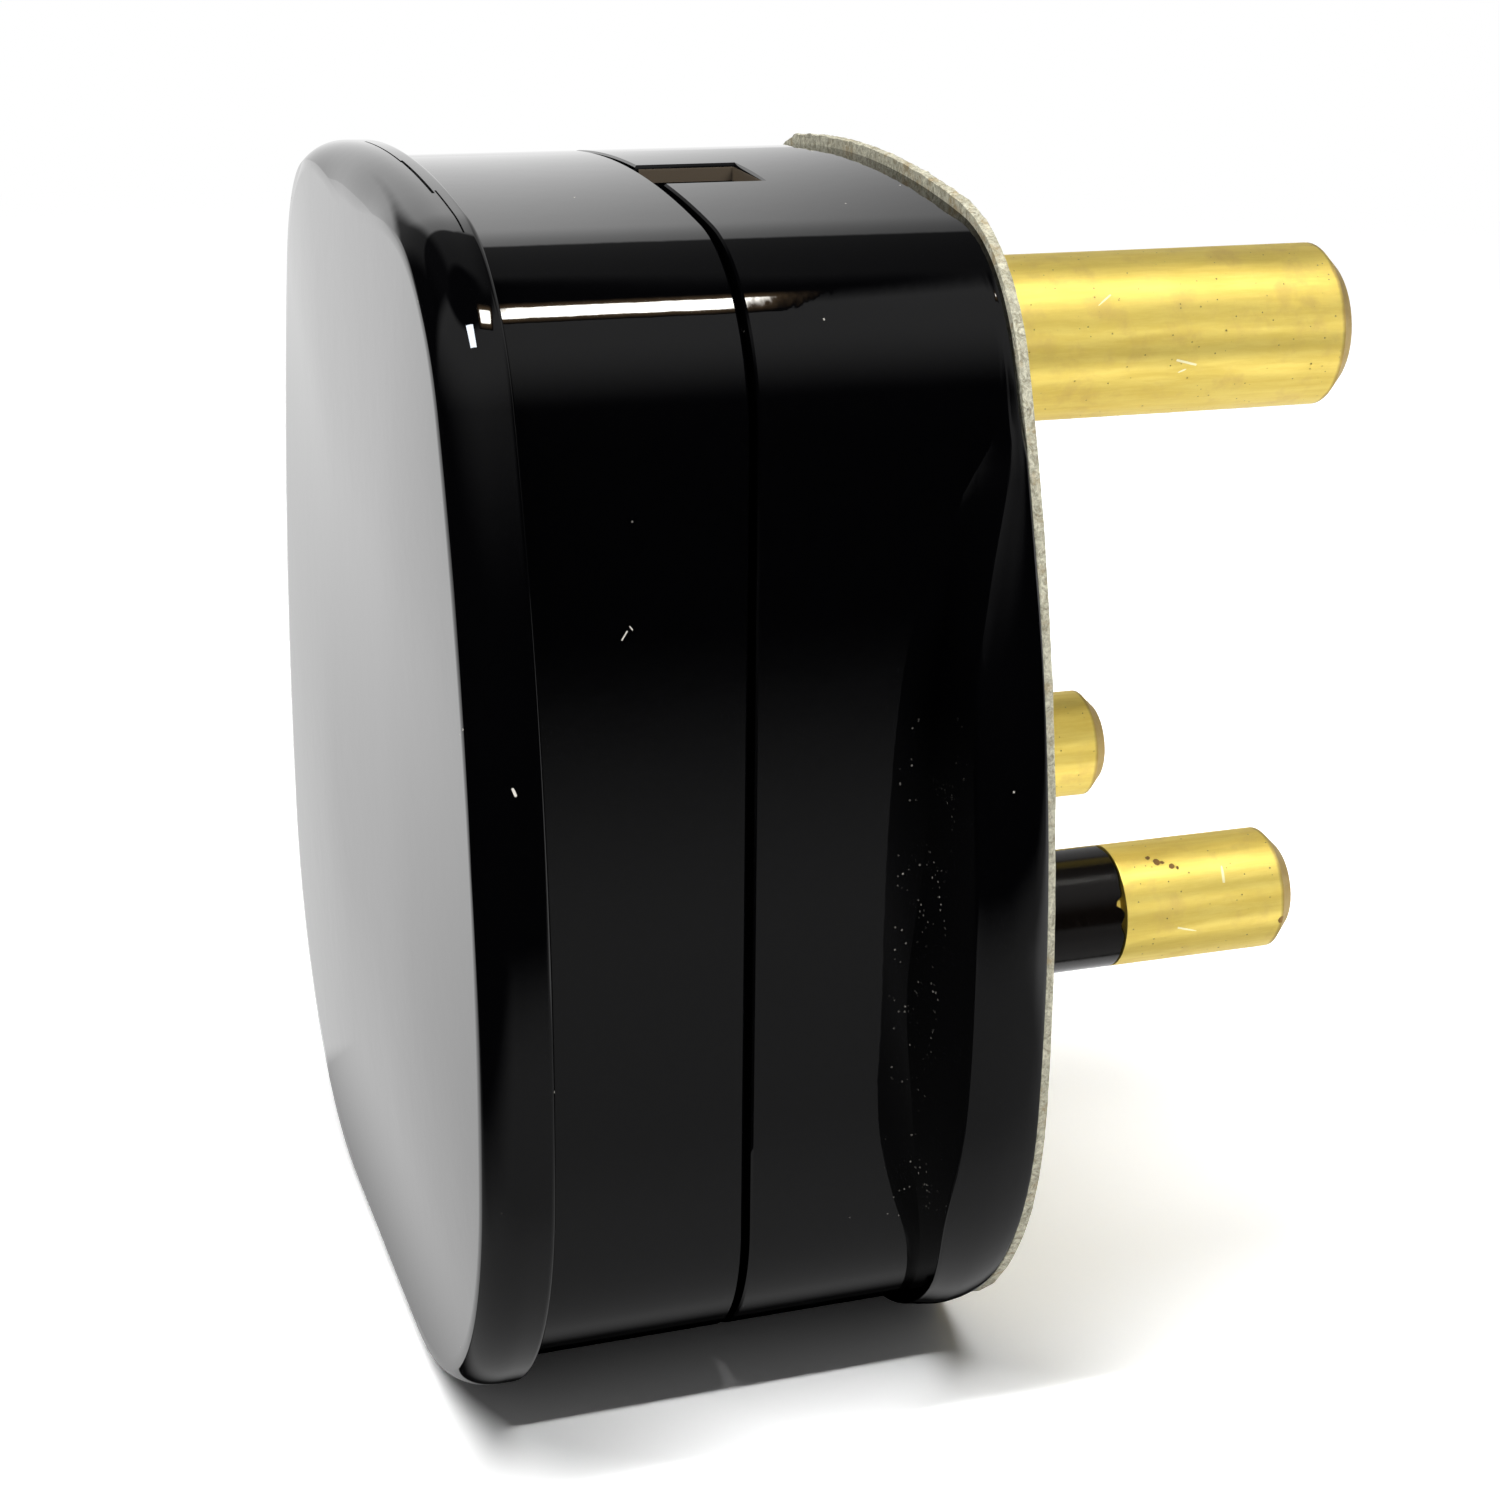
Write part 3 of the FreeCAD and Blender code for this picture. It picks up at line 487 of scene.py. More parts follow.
def specks(tree, where, per_mm, size, share):
    """A mask of grains: how many to a millimetre, how large, and which share of them."""
    return use_group(tree, dust, {
        "Where": where, "Grains per mm": per_mm, "Grain size": size, "Share": share})


print("groups:", [g.name for g in bpy.data.node_groups])

# %% Group for scratches
scratch, given, result = open_group("scratch", {
    "Where": NOWHERE, "Middle": NOWHERE, "Direction": (VECTOR, (0, 0, 1)), "Half length": (FLOAT, 0.3),
    "Width": (FLOAT, 0.04)}, "Mask")


def vector_node(tree, operation, inputs):
    """One Vector Math node; gives its outputs."""
    return place(tree, "VectorMath", inputs, operation=operation).outputs


offset = vector_node(scratch, "SUBTRACT", {0: given["Where"], 1: given["Middle"]})[0]
run = vector_node(scratch, "DOT_PRODUCT", {0: offset, 1: given["Direction"]})["Value"]
foot = vector_node(scratch, "SCALE", {0: given["Direction"], "Scale": run})[0]
aside = vector_node(scratch, "DISTANCE", {0: offset, 1: foot})["Value"]
near_line = math_node(scratch, "LESS_THAN", aside, given["Width"])
in_length = math_node(scratch, "LESS_THAN", math_node(scratch, "ABSOLUTE", run), given["Half length"])
scratch.links.new(product(scratch, near_line, in_length), result)


def line_mask(tree, where, lines):
    """One mask for several straight marks, each with its middle, heading, half length and width."""
    mask = 0.0
    for middle, heading, half_length, width in lines:
        mask = largest(tree, mask, use_group(tree, scratch, {
            "Where": where, "Middle": middle, "Direction": Vector(heading).normalized(),
            "Half length": half_length, "Width": width}))
    return mask


print("scratch takes", [socket.name for socket in given if socket.name])

# %% Black moulding
SCRATCHES = (
    ((-20.40, -20.19, -10.4), (0.35, 0.0, -0.94), 0.16, 0.05),
    ((-15.30, -15.80, -6.56), (0.53, 0.0, 0.85), 0.20, 0.028),
    ((-15.05, -15.80, -6.30), (-0.6, 0.0, 0.80), 0.10, 0.022),
    ((-21.60, -19.87, -32.2), (0.77, -0.55, -0.55), 0.45, 0.06),
)
BLACK = (0.0008, 0.0008, 0.0010, 1.0)
LINT_GREY = (0.62, 0.59, 0.53, 1.0)
# Painted light in the notch: inside the box below, across X, Y and Z in millimetres, the upper inner wall is
# painted this brown and made duller, as if lit.
PAINTED_NOTCH_LIGHT_BROWN = (0.085, 0.066, 0.046, 1.0)
PAINTED_NOTCH_LIGHT_DULL = 0.6
PAINTED_NOTCH_LIGHT_BOX = ((-10.2, -6.1), (-3.7, 0.8), (6.95, 7.5))
RECESS_ALONG = ((-4.9, -4.5), (-3.2, -3.5))
RECESS_OUT = ((15.6, 15.75), (18.6, 17.8))
RECESS_LOW = (-9.0, -16.0)
PATCHY = (0.42, 0.60)


def new_finish(name):
    """An empty material with a Principled BSDF; gives the material, its tree and the shader."""
    finish, tree = bare_material(name)
    shader = place(tree, "BsdfPrincipled")
    surface(tree, shader.outputs[0])
    return finish, tree, shader


def bump(tree, strength, distance, height, **lower):
    """A bump from a height, on top of a lower bump if one is given; gives its normal."""
    return place(tree, "Bump", {
        "Strength": strength, "Distance": distance, "Height": height, **lower}).outputs[0]


moulding, tree, shader = new_finish("black_moulding")
where = object_millimetres(tree)
axes = split(tree, where)
out = math_node(tree, "ABSOLUTE", axes["Y"])
in_recess = product(
    tree, *[ramp(tree, axes["X"], *edge) for edge in RECESS_ALONG],
    *[ramp(tree, out, *edge) for edge in RECESS_OUT], ramp(tree, axes["Z"], *RECESS_LOW),
    ramp(tree, clouds(tree, where, 0.5, 3.0), *PATCHY))
lint = product(tree, specks(tree, where, 4.5, 0.26, 0.30), in_recess)
dusty = largest(tree, specks(tree, where, 1.6, 0.10, 0.03), lint, line_mask(tree, where, SCRATCHES))
painted_notch_light = 1.0
# Painted light: 1 inside the notch's box, 0 elsewhere.
for axis, (low, high) in zip(axes, PAINTED_NOTCH_LIGHT_BOX):
    painted_notch_light = product(
        tree, painted_notch_light, math_node(tree, "GREATER_THAN", axis, low), math_node(tree, "LESS_THAN", axis, high))
# The notch's painted light lies under the dust, lint and scratches.
colour = blend_colours(tree, dusty, blend_colours(tree, painted_notch_light, BLACK, PAINTED_NOTCH_LIGHT_BROWN), LINT_GREY)
dull = largest(tree, dusty, product(tree, painted_notch_light, PAINTED_NOTCH_LIGHT_DULL))
swell = bump(tree, 0.05, 0.0002, clouds(tree, where, 0.16, 2.0))
ripple = bump(tree, 1.0, 0.0000018, clouds(tree, where, 1.3, 2.0), Normal=swell)
fill(tree, shader, {
    "Base Color": colour, "Normal": ripple, "IOR": 1.45,
    "Roughness": math_node(tree, "ADD", smeared(tree, where, 0.22, 0.015, 0.038), dull, clamp=True)})
print("moulding made, with", len(SCRATCHES), "scratches")

# %% [markdown]
# ## Brass
# The pins are cut from drawn brass bar: a warm yellow metal with a satin surface, fine lines along the pin
# from drawing, small dark pits and bright scratches. The chamfer at the tip is made browner and darker with
# painted shade. The streaks are noise that is stretched along X, and the tip's painted shade is a step in X,
# so the long pin and the short pins get the same finish with another place for the tip.

# %% Drawn brass
LONG_MARKS = (
    ((12.5, -3.47, -0.64), (0.96, 0.03, -0.27), 0.50, 0.05),
    ((12.26, -3.39, -1.05), (0.9, 0.1, 0.40), 0.55, 0.04),
    ((8.86, -2.88, 2.07), (0.8, 0.35, 0.45), 0.40, 0.04),
)
SHORT_MARKS = (
    ((11.55, -11.45, -20.55), (-0.1, -0.6, -0.78), 0.42, 0.06),
    ((9.88, -12.04, -22.68), (0.95, 0.0, -0.3), 0.60, 0.04),
)
SHORT_SPOTS = (
    ((8.50, -10.50, -19.89), 0.10), ((8.80, -10.75, -20.01), 0.15), ((9.02, -10.80, -20.05), 0.09),
    ((9.39, -11.02, -20.16), 0.12), ((9.62, -11.10, -20.22), 0.07), ((14.16, -12.03, -22.75), 0.16),
)
BRASS = {
    "deep": (0.86, 0.66, 0.15, 1.0), "pale": (0.92, 0.73, 0.19, 1.0), "cloudy": (0.80, 0.59, 0.16, 1.0),
    "scratched": (1.0, 0.93, 0.62, 1.0), "pitted": (0.22, 0.12, 0.04, 1.0),
    # painted shade for the tip's chamfer
    "painted_tip_shade": (0.40, 0.26, 0.09, 1.0),
}
DRAWN = (0.12, 1.0, 1.0)
LONG_TIP, SHORT_TIP = 19.97, 14.21


def spot_mask(tree, where, spots):
    """One mask for several pits with ragged edges, each with its middle and radius."""
    ragged = product(tree, clouds(tree, where, 6.0, 2.0), 0.12)
    mask = 0.0
    for middle, radius in spots:
        away = math_node(tree, "ADD", vector_node(tree, "DISTANCE", {0: where, 1: middle})["Value"], ragged)
        mask = largest(tree, mask, ramp(tree, away, radius + 0.04, radius + 0.08, 1.0, 0.0))
    return mask


def stretched(tree, where, scale):
    """A place drawn out along its axes."""
    return place(tree, "Mapping", {"Vector": where, "Scale": scale}).outputs[0]


def drawn_brass(name, tip, bright, dark):
    """Brass for a pin whose chamfer starts at the given X, in millimetres, with its own marks."""
    finish, tree, shader = new_finish(name)
    where = object_millimetres(tree)
    drawn = stretched(tree, where, DRAWN)
    streaks = clouds(tree, drawn, 3.2, 6.0, 0.7)
    cloud = clouds(tree, where, 0.55, 5.0, 0.6)
    pits = largest(tree, specks(tree, where, 1.9, 0.13, 0.20), specks(tree, where, 4.0, 0.20, 0.18),
                   spot_mask(tree, where, dark))
    ragged = math_node(tree, "ADD", split(tree, where)["X"], product(tree, cloud, 0.25))
    # Painted shade: past the given X, the tip's chamfer turns browner and darker, with a ragged start.
    tip_shade_step = ramp(tree, ragged, tip - 0.06, tip + 0.10, 0.0, 0.75)
    tone = blend_colours(tree, ramp(tree, streaks, 0.35, 0.65), BRASS["deep"], BRASS["pale"])
    for share, look in ((ramp(tree, cloud, 0.48, 0.72), "cloudy"),
                        (line_mask(tree, where, bright), "scratched"), (pits, "pitted"), (tip_shade_step, "painted_tip_shade")):
        tone = blend_colours(tree, share, tone, BRASS[look])
    lines = bump(tree, 0.18, 0.00003, streaks)
    dents = bump(tree, 0.8, 0.00005, math_node(tree, "SUBTRACT", 1.0, pits), Normal=lines)
    fill(tree, shader, {"Base Color": tone, "Roughness": smeared(tree, drawn, 1.4, 0.46, 0.60),
                        "Metallic": 0.92, "Normal": dents})
    return finish


long_brass = drawn_brass("drawn_brass_long", LONG_TIP, LONG_MARKS, ())
short_brass = drawn_brass("drawn_brass_short", SHORT_TIP, SHORT_MARKS, SHORT_SPOTS)
print("brass made, with", len(SHORT_SPOTS), "larger pits on a short pin")

# %% [markdown]
# ## Fibre card, sleeves and the hidden parts
# The card is pressed from grey fibre with brown and dark strands in it. The sleeves are a softer black than
# the moulding, slightly brown, and duller. Inside, the clamp bar is brown fibre, the terminal screws are
# bright brass, and the other screws are plated steel with rings from the lathe.

# %% Fibre card
FIBRE = {"dark": (0.24, 0.22, 0.15, 1.0), "light": (0.76, 0.74, 0.59, 1.0), "brown": (0.38, 0.28, 0.14, 1.0),
         "fleck": (0.10, 0.09, 0.07, 1.0)}

fibre, tree, shader = new_finish("fibre_card")
where = object_millimetres(tree)
strands = clouds(tree, where, 3.4, 9.0, 0.78, 1.2)
brown = ramp(tree, clouds(tree, where, 1.1, 6.0, 0.7), 0.50, 0.68, 0.0, 0.7)
tone = blend_colours(tree, ramp(tree, strands, 0.34, 0.66), FIBRE["dark"], FIBRE["light"])
tone = blend_colours(tree, brown, tone, FIBRE["brown"])
tone = blend_colours(tree, specks(tree, where, 3.5, 0.30, 0.16), tone, FIBRE["fleck"])
fill(tree, shader, {"Base Color": tone, "Roughness": smeared(tree, where, 1.0, 0.75, 0.95),
                    "Normal": bump(tree, 0.8, 0.00012, strands)})
print("fibre made, in", len(FIBRE), "tones")

# %% Sleeve plastic, bar fibre and screw metals
RINGS = (4.0, 0.4, 0.4)
STRANDS = (0.3, 0.3, 1.0)


def plain_finish(name, dark, light, stretch, rough, metallic=0.0, ior=1.5):
    """A finish whose tone and gloss drift with noise, drawn out by the stretch into rings or strands."""
    finish, tree, shader = new_finish(name)
    drawn = stretched(tree, object_millimetres(tree), stretch)
    grain = clouds(tree, drawn, 2.4, 6.0, 0.65)
    fill(tree, shader, {
        "Base Color": blend_colours(tree, grain, dark, light), "Roughness": smeared(tree, drawn, 1.1, *rough),
        "Normal": bump(tree, 0.3, 0.00002, grain), "Metallic": metallic, "IOR": ior})
    return finish


sleeve_black = plain_finish("sleeve_black", (0.0014, 0.0010, 0.0009, 1.0), (0.0045, 0.0034, 0.0028, 1.0),
                            RINGS, (0.10, 0.20), ior=1.36)
bar_fibre = plain_finish("bar_fibre", (0.11, 0.05, 0.02, 1.0), (0.26, 0.14, 0.07, 1.0), STRANDS, (0.6, 0.8))
screw_brass = plain_finish("screw_brass", (0.70, 0.52, 0.16, 1.0), (0.88, 0.68, 0.24, 1.0), RINGS,
                           (0.28, 0.40), 1.0)
screw_steel = plain_finish("screw_steel", (0.50, 0.50, 0.48, 1.0), (0.70, 0.70, 0.68, 1.0), RINGS,
                           (0.26, 0.40), 1.0)
print("finishes for the small parts: 4")

# %% A finish on every solid
FINISHES = (
    (moulding, "base cover"), (fibre, "pin_face_card"), (long_brass, "earth_pin"),
    (short_brass, "line_pin neutral_pin"), (sleeve_black, "line_sleeve neutral_sleeve"),
    (bar_fibre, "cord_grip_bar"), (screw_steel, "cover_screw cord_grip_screw_near cord_grip_screw_far"),
    (screw_brass, "cover_nut earth_terminal_screw line_terminal_screw neutral_terminal_screw"),
)
finished = [(nodes[name], finish) for finish, names in FINISHES for name in names.split()]
for node, finish in finished:
    node.data.materials.clear()
    node.data.materials.append(finish)
print("finishes on", len(finished), "solids")

# %% [markdown]
# ## Outlines of the two halves
# Seen along the pins, both halves follow two outlines: the straight-sided wall, and the pear shape that the
# flange, the card and the rear rim share. Each is a run along the bottom and a chain of arcs that flow into
# each other. A spin draws an arc exactly, so one vertex is spun round each arc's centre in turn. Every
# outline gets the same number of steps in each arc, and so a skin can run from one to the next, point to
# point: each ring is extruded from the one before and its points are moved to their places.

# %% Trace an outline with spins
WALL = {"crown": 72.0, "top": 7.65, "half": 15.8, "side": 6000.0, "widest": 16.0, "corner": 6.9, "drop": 38.3,
        "low": 7.0}
LIP = {"crown": 72.0, "top": 7.65, "half": 20.5, "side": 67.0, "widest": 22.0, "corner": 8.0, "drop": 39.1,
       "low": 14.0}
STEPS = {"low": 24, "side": 40, "corner": 26, "crown": 64}


def grown(outline, rise=0.0, proud=0.0, lower=0.0):
    """The same outline with a higher crown, wider sides and a lower bottom, in millimetres."""
    more = {"crown": rise, "top": rise, "half": proud, "side": proud, "corner": proud, "drop": lower,
            "low": lower}
    return {name: size + more.get(name, 0.0) for name, size in outline.items()}


def spread(outline, amount):
    """The same outline drawn out all round, or in."""
    return grown(outline, amount, amount, amount)


def meeting(first, first_reach, second, second_reach):
    """The outer point at given distances from two centres, both as (across, up)."""
    first, second = Vector(first), Vector(second)
    apart = (second - first).length
    along = (first_reach ** 2 - second_reach ** 2 + apart ** 2) / (2 * apart)
    aside = math.sqrt(first_reach ** 2 - along ** 2)
    direction = (second - first) / apart
    normal = Vector((direction.y, -direction.x))
    spots = [first + direction * along + normal * side * aside for side in (1, -1)]
    return max(spots, key=lambda spot: spot.x)


def trace(sheet, outline, x):
    """Trace a closed outline at a place along X; gives its vertices in order from the bottom middle."""
    size = {name: length * MM for name, length in outline.items()}
    crown = Vector((0.0, size["top"] - size["crown"]))
    side = Vector((size["half"] - size["side"], -size["widest"]))
    low_up = size["low"] - size["drop"]
    reach = math.sqrt((size["side"] - size["low"]) ** 2 - (low_up - side.y) ** 2)
    low = Vector((side.x + reach, low_up))
    corner = meeting(crown, size["crown"] - size["corner"], side, size["side"] - size["corner"])
    low_turn, side_turn, shoulder = [
        math.atan2(gap.y, gap.x) for gap in (low - side, corner - side, corner - crown)]
    arcs = [("low", low, low_turn + math.pi / 2), ("side", side, side_turn - low_turn),
            ("corner", corner, shoulder - side_turn)]
    mirrored = [(name, Vector((-centre.x, centre.y)), turn) for name, centre, turn in reversed(arcs)]
    last = sheet.verts.new((x * MM, 0.0, -size["drop"]))
    ring = [last]
    last = bmesh.ops.extrude_vert_indiv(sheet, verts=[last])["verts"][0]
    last.co.y = low.x
    ring.append(last)
    for name, centre, turn in arcs + [("crown", crown, math.pi - 2 * shoulder)] + mirrored:
        before = len(sheet.verts)
        spun = bmesh.ops.spin(
            sheet, geom=[last], cent=(x * MM, centre.x, centre.y), axis=(1, 0, 0), angle=turn,
            steps=STEPS[name])
        sheet.verts.ensure_lookup_table()
        ring += sheet.verts[before:]
        last = next(item for item in spun["geom_last"] if isinstance(item, bmesh.types.BMVert))
    sheet.edges.new((last, ring[0]))
    return ring


print("steps in each arc:", STEPS)

# %% Read a curve, and skin a solid through rings
def along(stations, height):
    """A value read off (height, value) stations that go downwards, on a smooth curve through them."""
    heights = [station[0] for station in stations]
    height = min(max(height, heights[-1]), heights[0])
    at = next(i for i in range(len(stations) - 1) if height >= heights[i + 1])

    def slope(i):
        before, after = stations[max(i - 1, 0)], stations[min(i + 1, len(stations) - 1)]
        return (after[1] - before[1]) / (after[0] - before[0])

    (high, upper), (low, lower) = stations[at], stations[at + 1]
    span = low - high
    share = (height - high) / span
    bend = share * share * (3 - 2 * share)
    swing = share * (1 - share)
    return (upper + (lower - upper) * bend
            + span * swing * (slope(at) * (1 - share) - slope(at + 1) * share))


def ring_edges(sheet, ring):
    """The edges round a closed ring of vertices."""
    return [sheet.edges.get(pair) for pair in zip(ring, ring[1:] + ring[:1])]


def points(outline, x):
    """The places round an outline, in order."""
    sheet = bmesh.new()
    spots = [vert.co.copy() for vert in trace(sheet, outline, x)]
    sheet.free()
    return spots


def stack(sheet, sections):
    """Skin a solid through sections of equal count: extrude ring from ring, and close both ends."""
    rings = [trace(sheet, WALL, 0.0)]
    for section in sections[1:]:
        made = bmesh.ops.extrude_edge_only(sheet, edges=ring_edges(sheet, rings[-1]))["geom"]
        fresh = {item for item in made if isinstance(item, bmesh.types.BMVert)}
        rings.append([
            next(edge.other_vert(vert) for edge in vert.link_edges if edge.other_vert(vert) in fresh)
            for vert in rings[-1]])
    for ring, section in zip(rings, sections):
        for vert, spot in zip(ring, section):
            vert.co = spot
    for end in (rings[0], rings[-1]):
        bmesh.ops.contextual_create(sheet, geom=ring_edges(sheet, end))
    bmesh.ops.recalc_face_normals(sheet, faces=sheet.faces)
    return rings


sheet = bmesh.new()
print("an outline has", len(trace(sheet, LIP, 0.0)), "points")
sheet.free()

# %% [markdown]
# ## Cutting holes
# The mouldings are hollow, with bosses inside and holes for pins, screws and the cord. Cutting those with
# booleans is what a maker does with drills and cores, and it keeps the outer skin as it was drawn. The
# tools are rods along an axis, and blocks traced from the same outlines.

# %% Tools for cutting and joining
def rod(centre, ends, diameter, axis="X", steps=64):
    """A closed rod between two ends along X or Z; the centre gives its other two places, in millimetres."""
    sheet = bmesh.new()
    length = ends[1] - ends[0]
    bmesh.ops.create_cone(
        sheet, cap_ends=True, segments=steps, radius1=diameter / 2 * MM, radius2=diameter / 2 * MM,
        depth=length * MM)
    middle = (ends[0] + ends[1]) / 2
    if axis == "X":
        bmesh.ops.rotate(sheet, verts=sheet.verts, matrix=Matrix.Rotation(math.radians(90), 3, "Y"))
        shift = Vector((middle, centre[0], centre[1]))
    else:
        shift = Vector((centre[0], centre[1], middle))
    bmesh.ops.translate(sheet, verts=sheet.verts, vec=shift * MM)
    return sheet


def block(outline, ends):
    """A closed block with the given outline between two places along X."""
    sheet = bmesh.new()
    stack(sheet, [points(outline, x) for x in ends])
    return sheet


def brick(low, high):
    """A closed box between two corners in millimetres."""
    sheet = bmesh.new()
    bmesh.ops.create_cube(sheet, size=1.0)
    low, high = Vector(low) * MM, Vector(high) * MM
    bmesh.ops.scale(sheet, vec=high - low, verts=sheet.verts)
    bmesh.ops.translate(sheet, vec=(low + high) / 2, verts=sheet.verts)
    return sheet


def work(piece, operation, tools):
    """Cut tools out of a piece, or join them to it, and keep the result as its mesh."""
    for tool_sheet in tools:
        tool = new_piece("tool", tool_sheet)
        joint = piece.modifiers.new("work", "BOOLEAN")
        joint.operation = operation
        joint.solver = "EXACT"
        joint.object = tool
        bpy.context.view_layer.update()
        shaped = piece.evaluated_get(bpy.context.evaluated_depsgraph_get())
        mesh = bpy.data.meshes.new_from_object(shaped)
        piece.modifiers.clear()
        old = piece.data
        piece.data = mesh
        mesh.name = piece.name
        bpy.data.meshes.remove(old)
        bpy.data.objects.remove(tool, do_unlink=True)


def dress(piece, node, finish, crease=32):
    """Shade a piece smoothly between its creases, and let it stand for its solid."""
    piece.data.polygons.foreach_set("use_smooth", [True] * len(piece.data.polygons))
    piece.data.set_sharp_from_angle(angle=math.radians(crease))
    weighted = piece.modifiers.new("even_shading", "WEIGHTED_NORMAL")
    weighted.keep_sharp = True
    weighted.weight = 100
    piece.data.materials.clear()
    piece.data.materials.append(finish)
    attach(piece, "root")
    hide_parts(node)
    print(piece.name, "has", len(piece.data.polygons), "faces")


# %% Places along and across the pins that the pieces share
CARD = 0.4
SEAM = -10.5
BACK = -22.2
WALL_THICK = 1.9
FLOOR_X = -4.0
EARTH = (0.0, 0.0)
LINE = (-9.525, -22.23)
NEUTRAL = (9.525, -22.23)
SCREW = (0.0, -12.5)
GRIPS = ((-7.6, -32.4), (7.6, -32.4))
PIN_HOLES = ((EARTH, 7.3), (LINE, 5.32), (NEUTRAL, 5.32))
CORD_HOLE = 7.0
PAST = 1.0
print("pin holes:", len(PIN_HOLES), "seam at", SEAM, "mm")

# %% [markdown]
# ## Cover
# The rear half is a shallow cup with a proud rim that rolls round into the slightly crowned back. Its skin
# is a stack of rings: the back, the roll, the rim's edge, the wall, and the chamfer at the seam. The back's
# edge is crisp down the sides and melts into the roll at the top. A bevel would keep one radius all
# round, so each ring of the roll gets its own place, and only the rim's crest is a bevel.

# %% How the cover's back rolls into its rim
HEART = Vector((0.0, 0.0, -16.0)) * MM
RIM_EDGE = -19.3
RIM_PROUD = 0.7
BACK_SHARES = (0.30, 0.50, 0.68, 0.82, 0.90, 0.95, 0.98)
ROLL_DEEP = 2.0
ROLL_IN = 1.7
ROLL_STEPS = 14
EDGE_CRISP = 0.03
ROLL_FROM = math.radians(33)
MELT = (0.5, 9.5)
MELT_IN = 1.8
RIM_CREST = 0.25
SEAM_GAP = 0.32
SEAM_ROUND = 0.08
COVER_END = SEAM - SEAM_GAP / 2
BASE_END = SEAM + SEAM_GAP / 2

rim = grown(LIP, rise=RIM_PROUD, proud=RIM_PROUD)
rim_spots = points(rim, 0.0)
inward = [inner - outer for inner, outer in zip(points(spread(rim, -1.0), 0.0), rim_spots)]


def melted(spot):
    """How far the back melts into the rim: wholly at the middle of the top, not at all past its corners."""
    if spot.z < 0:
        return 0.0
    share = min(max((MELT[1] - abs(spot.y) / MM) / (MELT[1] - MELT[0]), 0.0), 1.0)
    return share * share * (3 - 2 * share)


CROWN = ROLL_DEEP * (1 - math.cos(ROLL_FROM))
crisp_edge = [
    spot + drawn_in * ROLL_IN * (1 - math.sin(ROLL_FROM)) for spot, drawn_in in zip(rim_spots, inward)]


def crown_at(spot, edge):
    """How far the slightly crowned back has fallen at a spot, in millimetres."""
    return CROWN * ((spot - HEART).length / (edge - HEART).length) ** 2


def roll_section(share):
    """A ring of the roll, at a share of the way from the back's edge to the rim's crest."""
    section = []
    for spot, drawn_in, edge in zip(rim_spots, inward, crisp_edge):
        melt = melted(spot)
        start = ROLL_FROM * (1 - melt)
        turn = start + share * (math.pi / 2 - start)
        reach = ROLL_IN + melt * (MELT_IN - ROLL_IN)
        fallen = crown_at(spot + drawn_in * reach * (1 - math.sin(start)), edge)
        moved = spot + drawn_in * reach * (1 - math.sin(turn))
        moved.x = (BACK + fallen + (ROLL_DEEP - fallen) * (1 - math.cos(turn) / math.cos(start))) * MM
        section.append(moved)
    return section


def back_section(share):
    """A ring of the crowned back, at a share of the way from its middle to its edge."""
    section = []
    for start, edge in zip(roll_section(0.0), crisp_edge):
        spot = HEART.lerp(Vector((0.0, start.y, start.z)), share)
        spot.x = (BACK + crown_at(spot, edge)) * MM
        section.append(spot)
    return section


print("the back is crowned by", round(CROWN, 2), "mm")

# %% Skin of the cover
ROLL_SHARES = [0.0, EDGE_CRISP] + [step / ROLL_STEPS for step in range(1, ROLL_STEPS + 1)]
RIM_SEGMENTS = 4

sheet = bmesh.new()
rolled = [back_section(share) for share in BACK_SHARES] + [roll_section(share) for share in ROLL_SHARES]
rings = stack(sheet, rolled + [
    points(rim, RIM_EDGE), points(WALL, RIM_EDGE), points(WALL, COVER_END - SEAM_ROUND),
    points(spread(WALL, -SEAM_ROUND), COVER_END),
])
bmesh.ops.bevel(
    sheet, geom=ring_edges(sheet, rings[len(rolled)]), offset=RIM_CREST * MM, offset_type="OFFSET",
    affect="EDGES", segments=RIM_SEGMENTS, profile=0.5, material=-1, clamp_overlap=True)
cover = new_piece("cover_moulding", sheet)
print("rings in the cover's skin:", len(rings))

# %% Inside of the cover
SPIGOT_IN = WALL_THICK + 0.15
SPIGOT_WALL = 0.8
SPIGOT = 1.2
BACK_INNER = -19.6
COVER_BOSS = -10.7
BOSS = 8.6
SCREW_BORE = 3.64
BORE_END = -15.5
NUT_POCKET = 6.24
NUT_END = -13.1

work(cover, "UNION", [block(spread(WALL, -SPIGOT_IN), (SEAM - PAST, SEAM + SPIGOT))])
work(cover, "DIFFERENCE", [block(spread(WALL, -SPIGOT_IN - SPIGOT_WALL), (BACK_INNER, SEAM + SPIGOT + PAST))])
work(cover, "UNION", [rod(SCREW, (BACK_INNER - PAST, COVER_BOSS), BOSS)])
nut_pocket = rod(SCREW, (NUT_END, COVER_BOSS + PAST), NUT_POCKET / math.cos(math.radians(30)), steps=6)
cord_ends = (-WALL["drop"] - PAST, -WALL["drop"] + WALL_THICK + SPIGOT_WALL + 2 * PAST)
work(cover, "DIFFERENCE", [
    rod(SCREW, (BORE_END, COVER_BOSS + PAST), SCREW_BORE), nut_pocket,
    rod((SEAM, 0.0), cord_ends, CORD_HOLE, axis="Z"),
])
print("cover hollowed, faces:", len(cover.data.polygons))

# %% Hair cracks in the top of the rim
# Each crack: its place along X, its width, and where it starts and ends across, in millimetres.
HAIRS = ((-20.05, 0.07, -1.4, 6.2), (-20.0, 0.12, -7.0, -1.0), (-19.85, 0.07, -11.4, -6.6))
HAIR_DEEP = 0.2
HAIR_TOP = 15.0


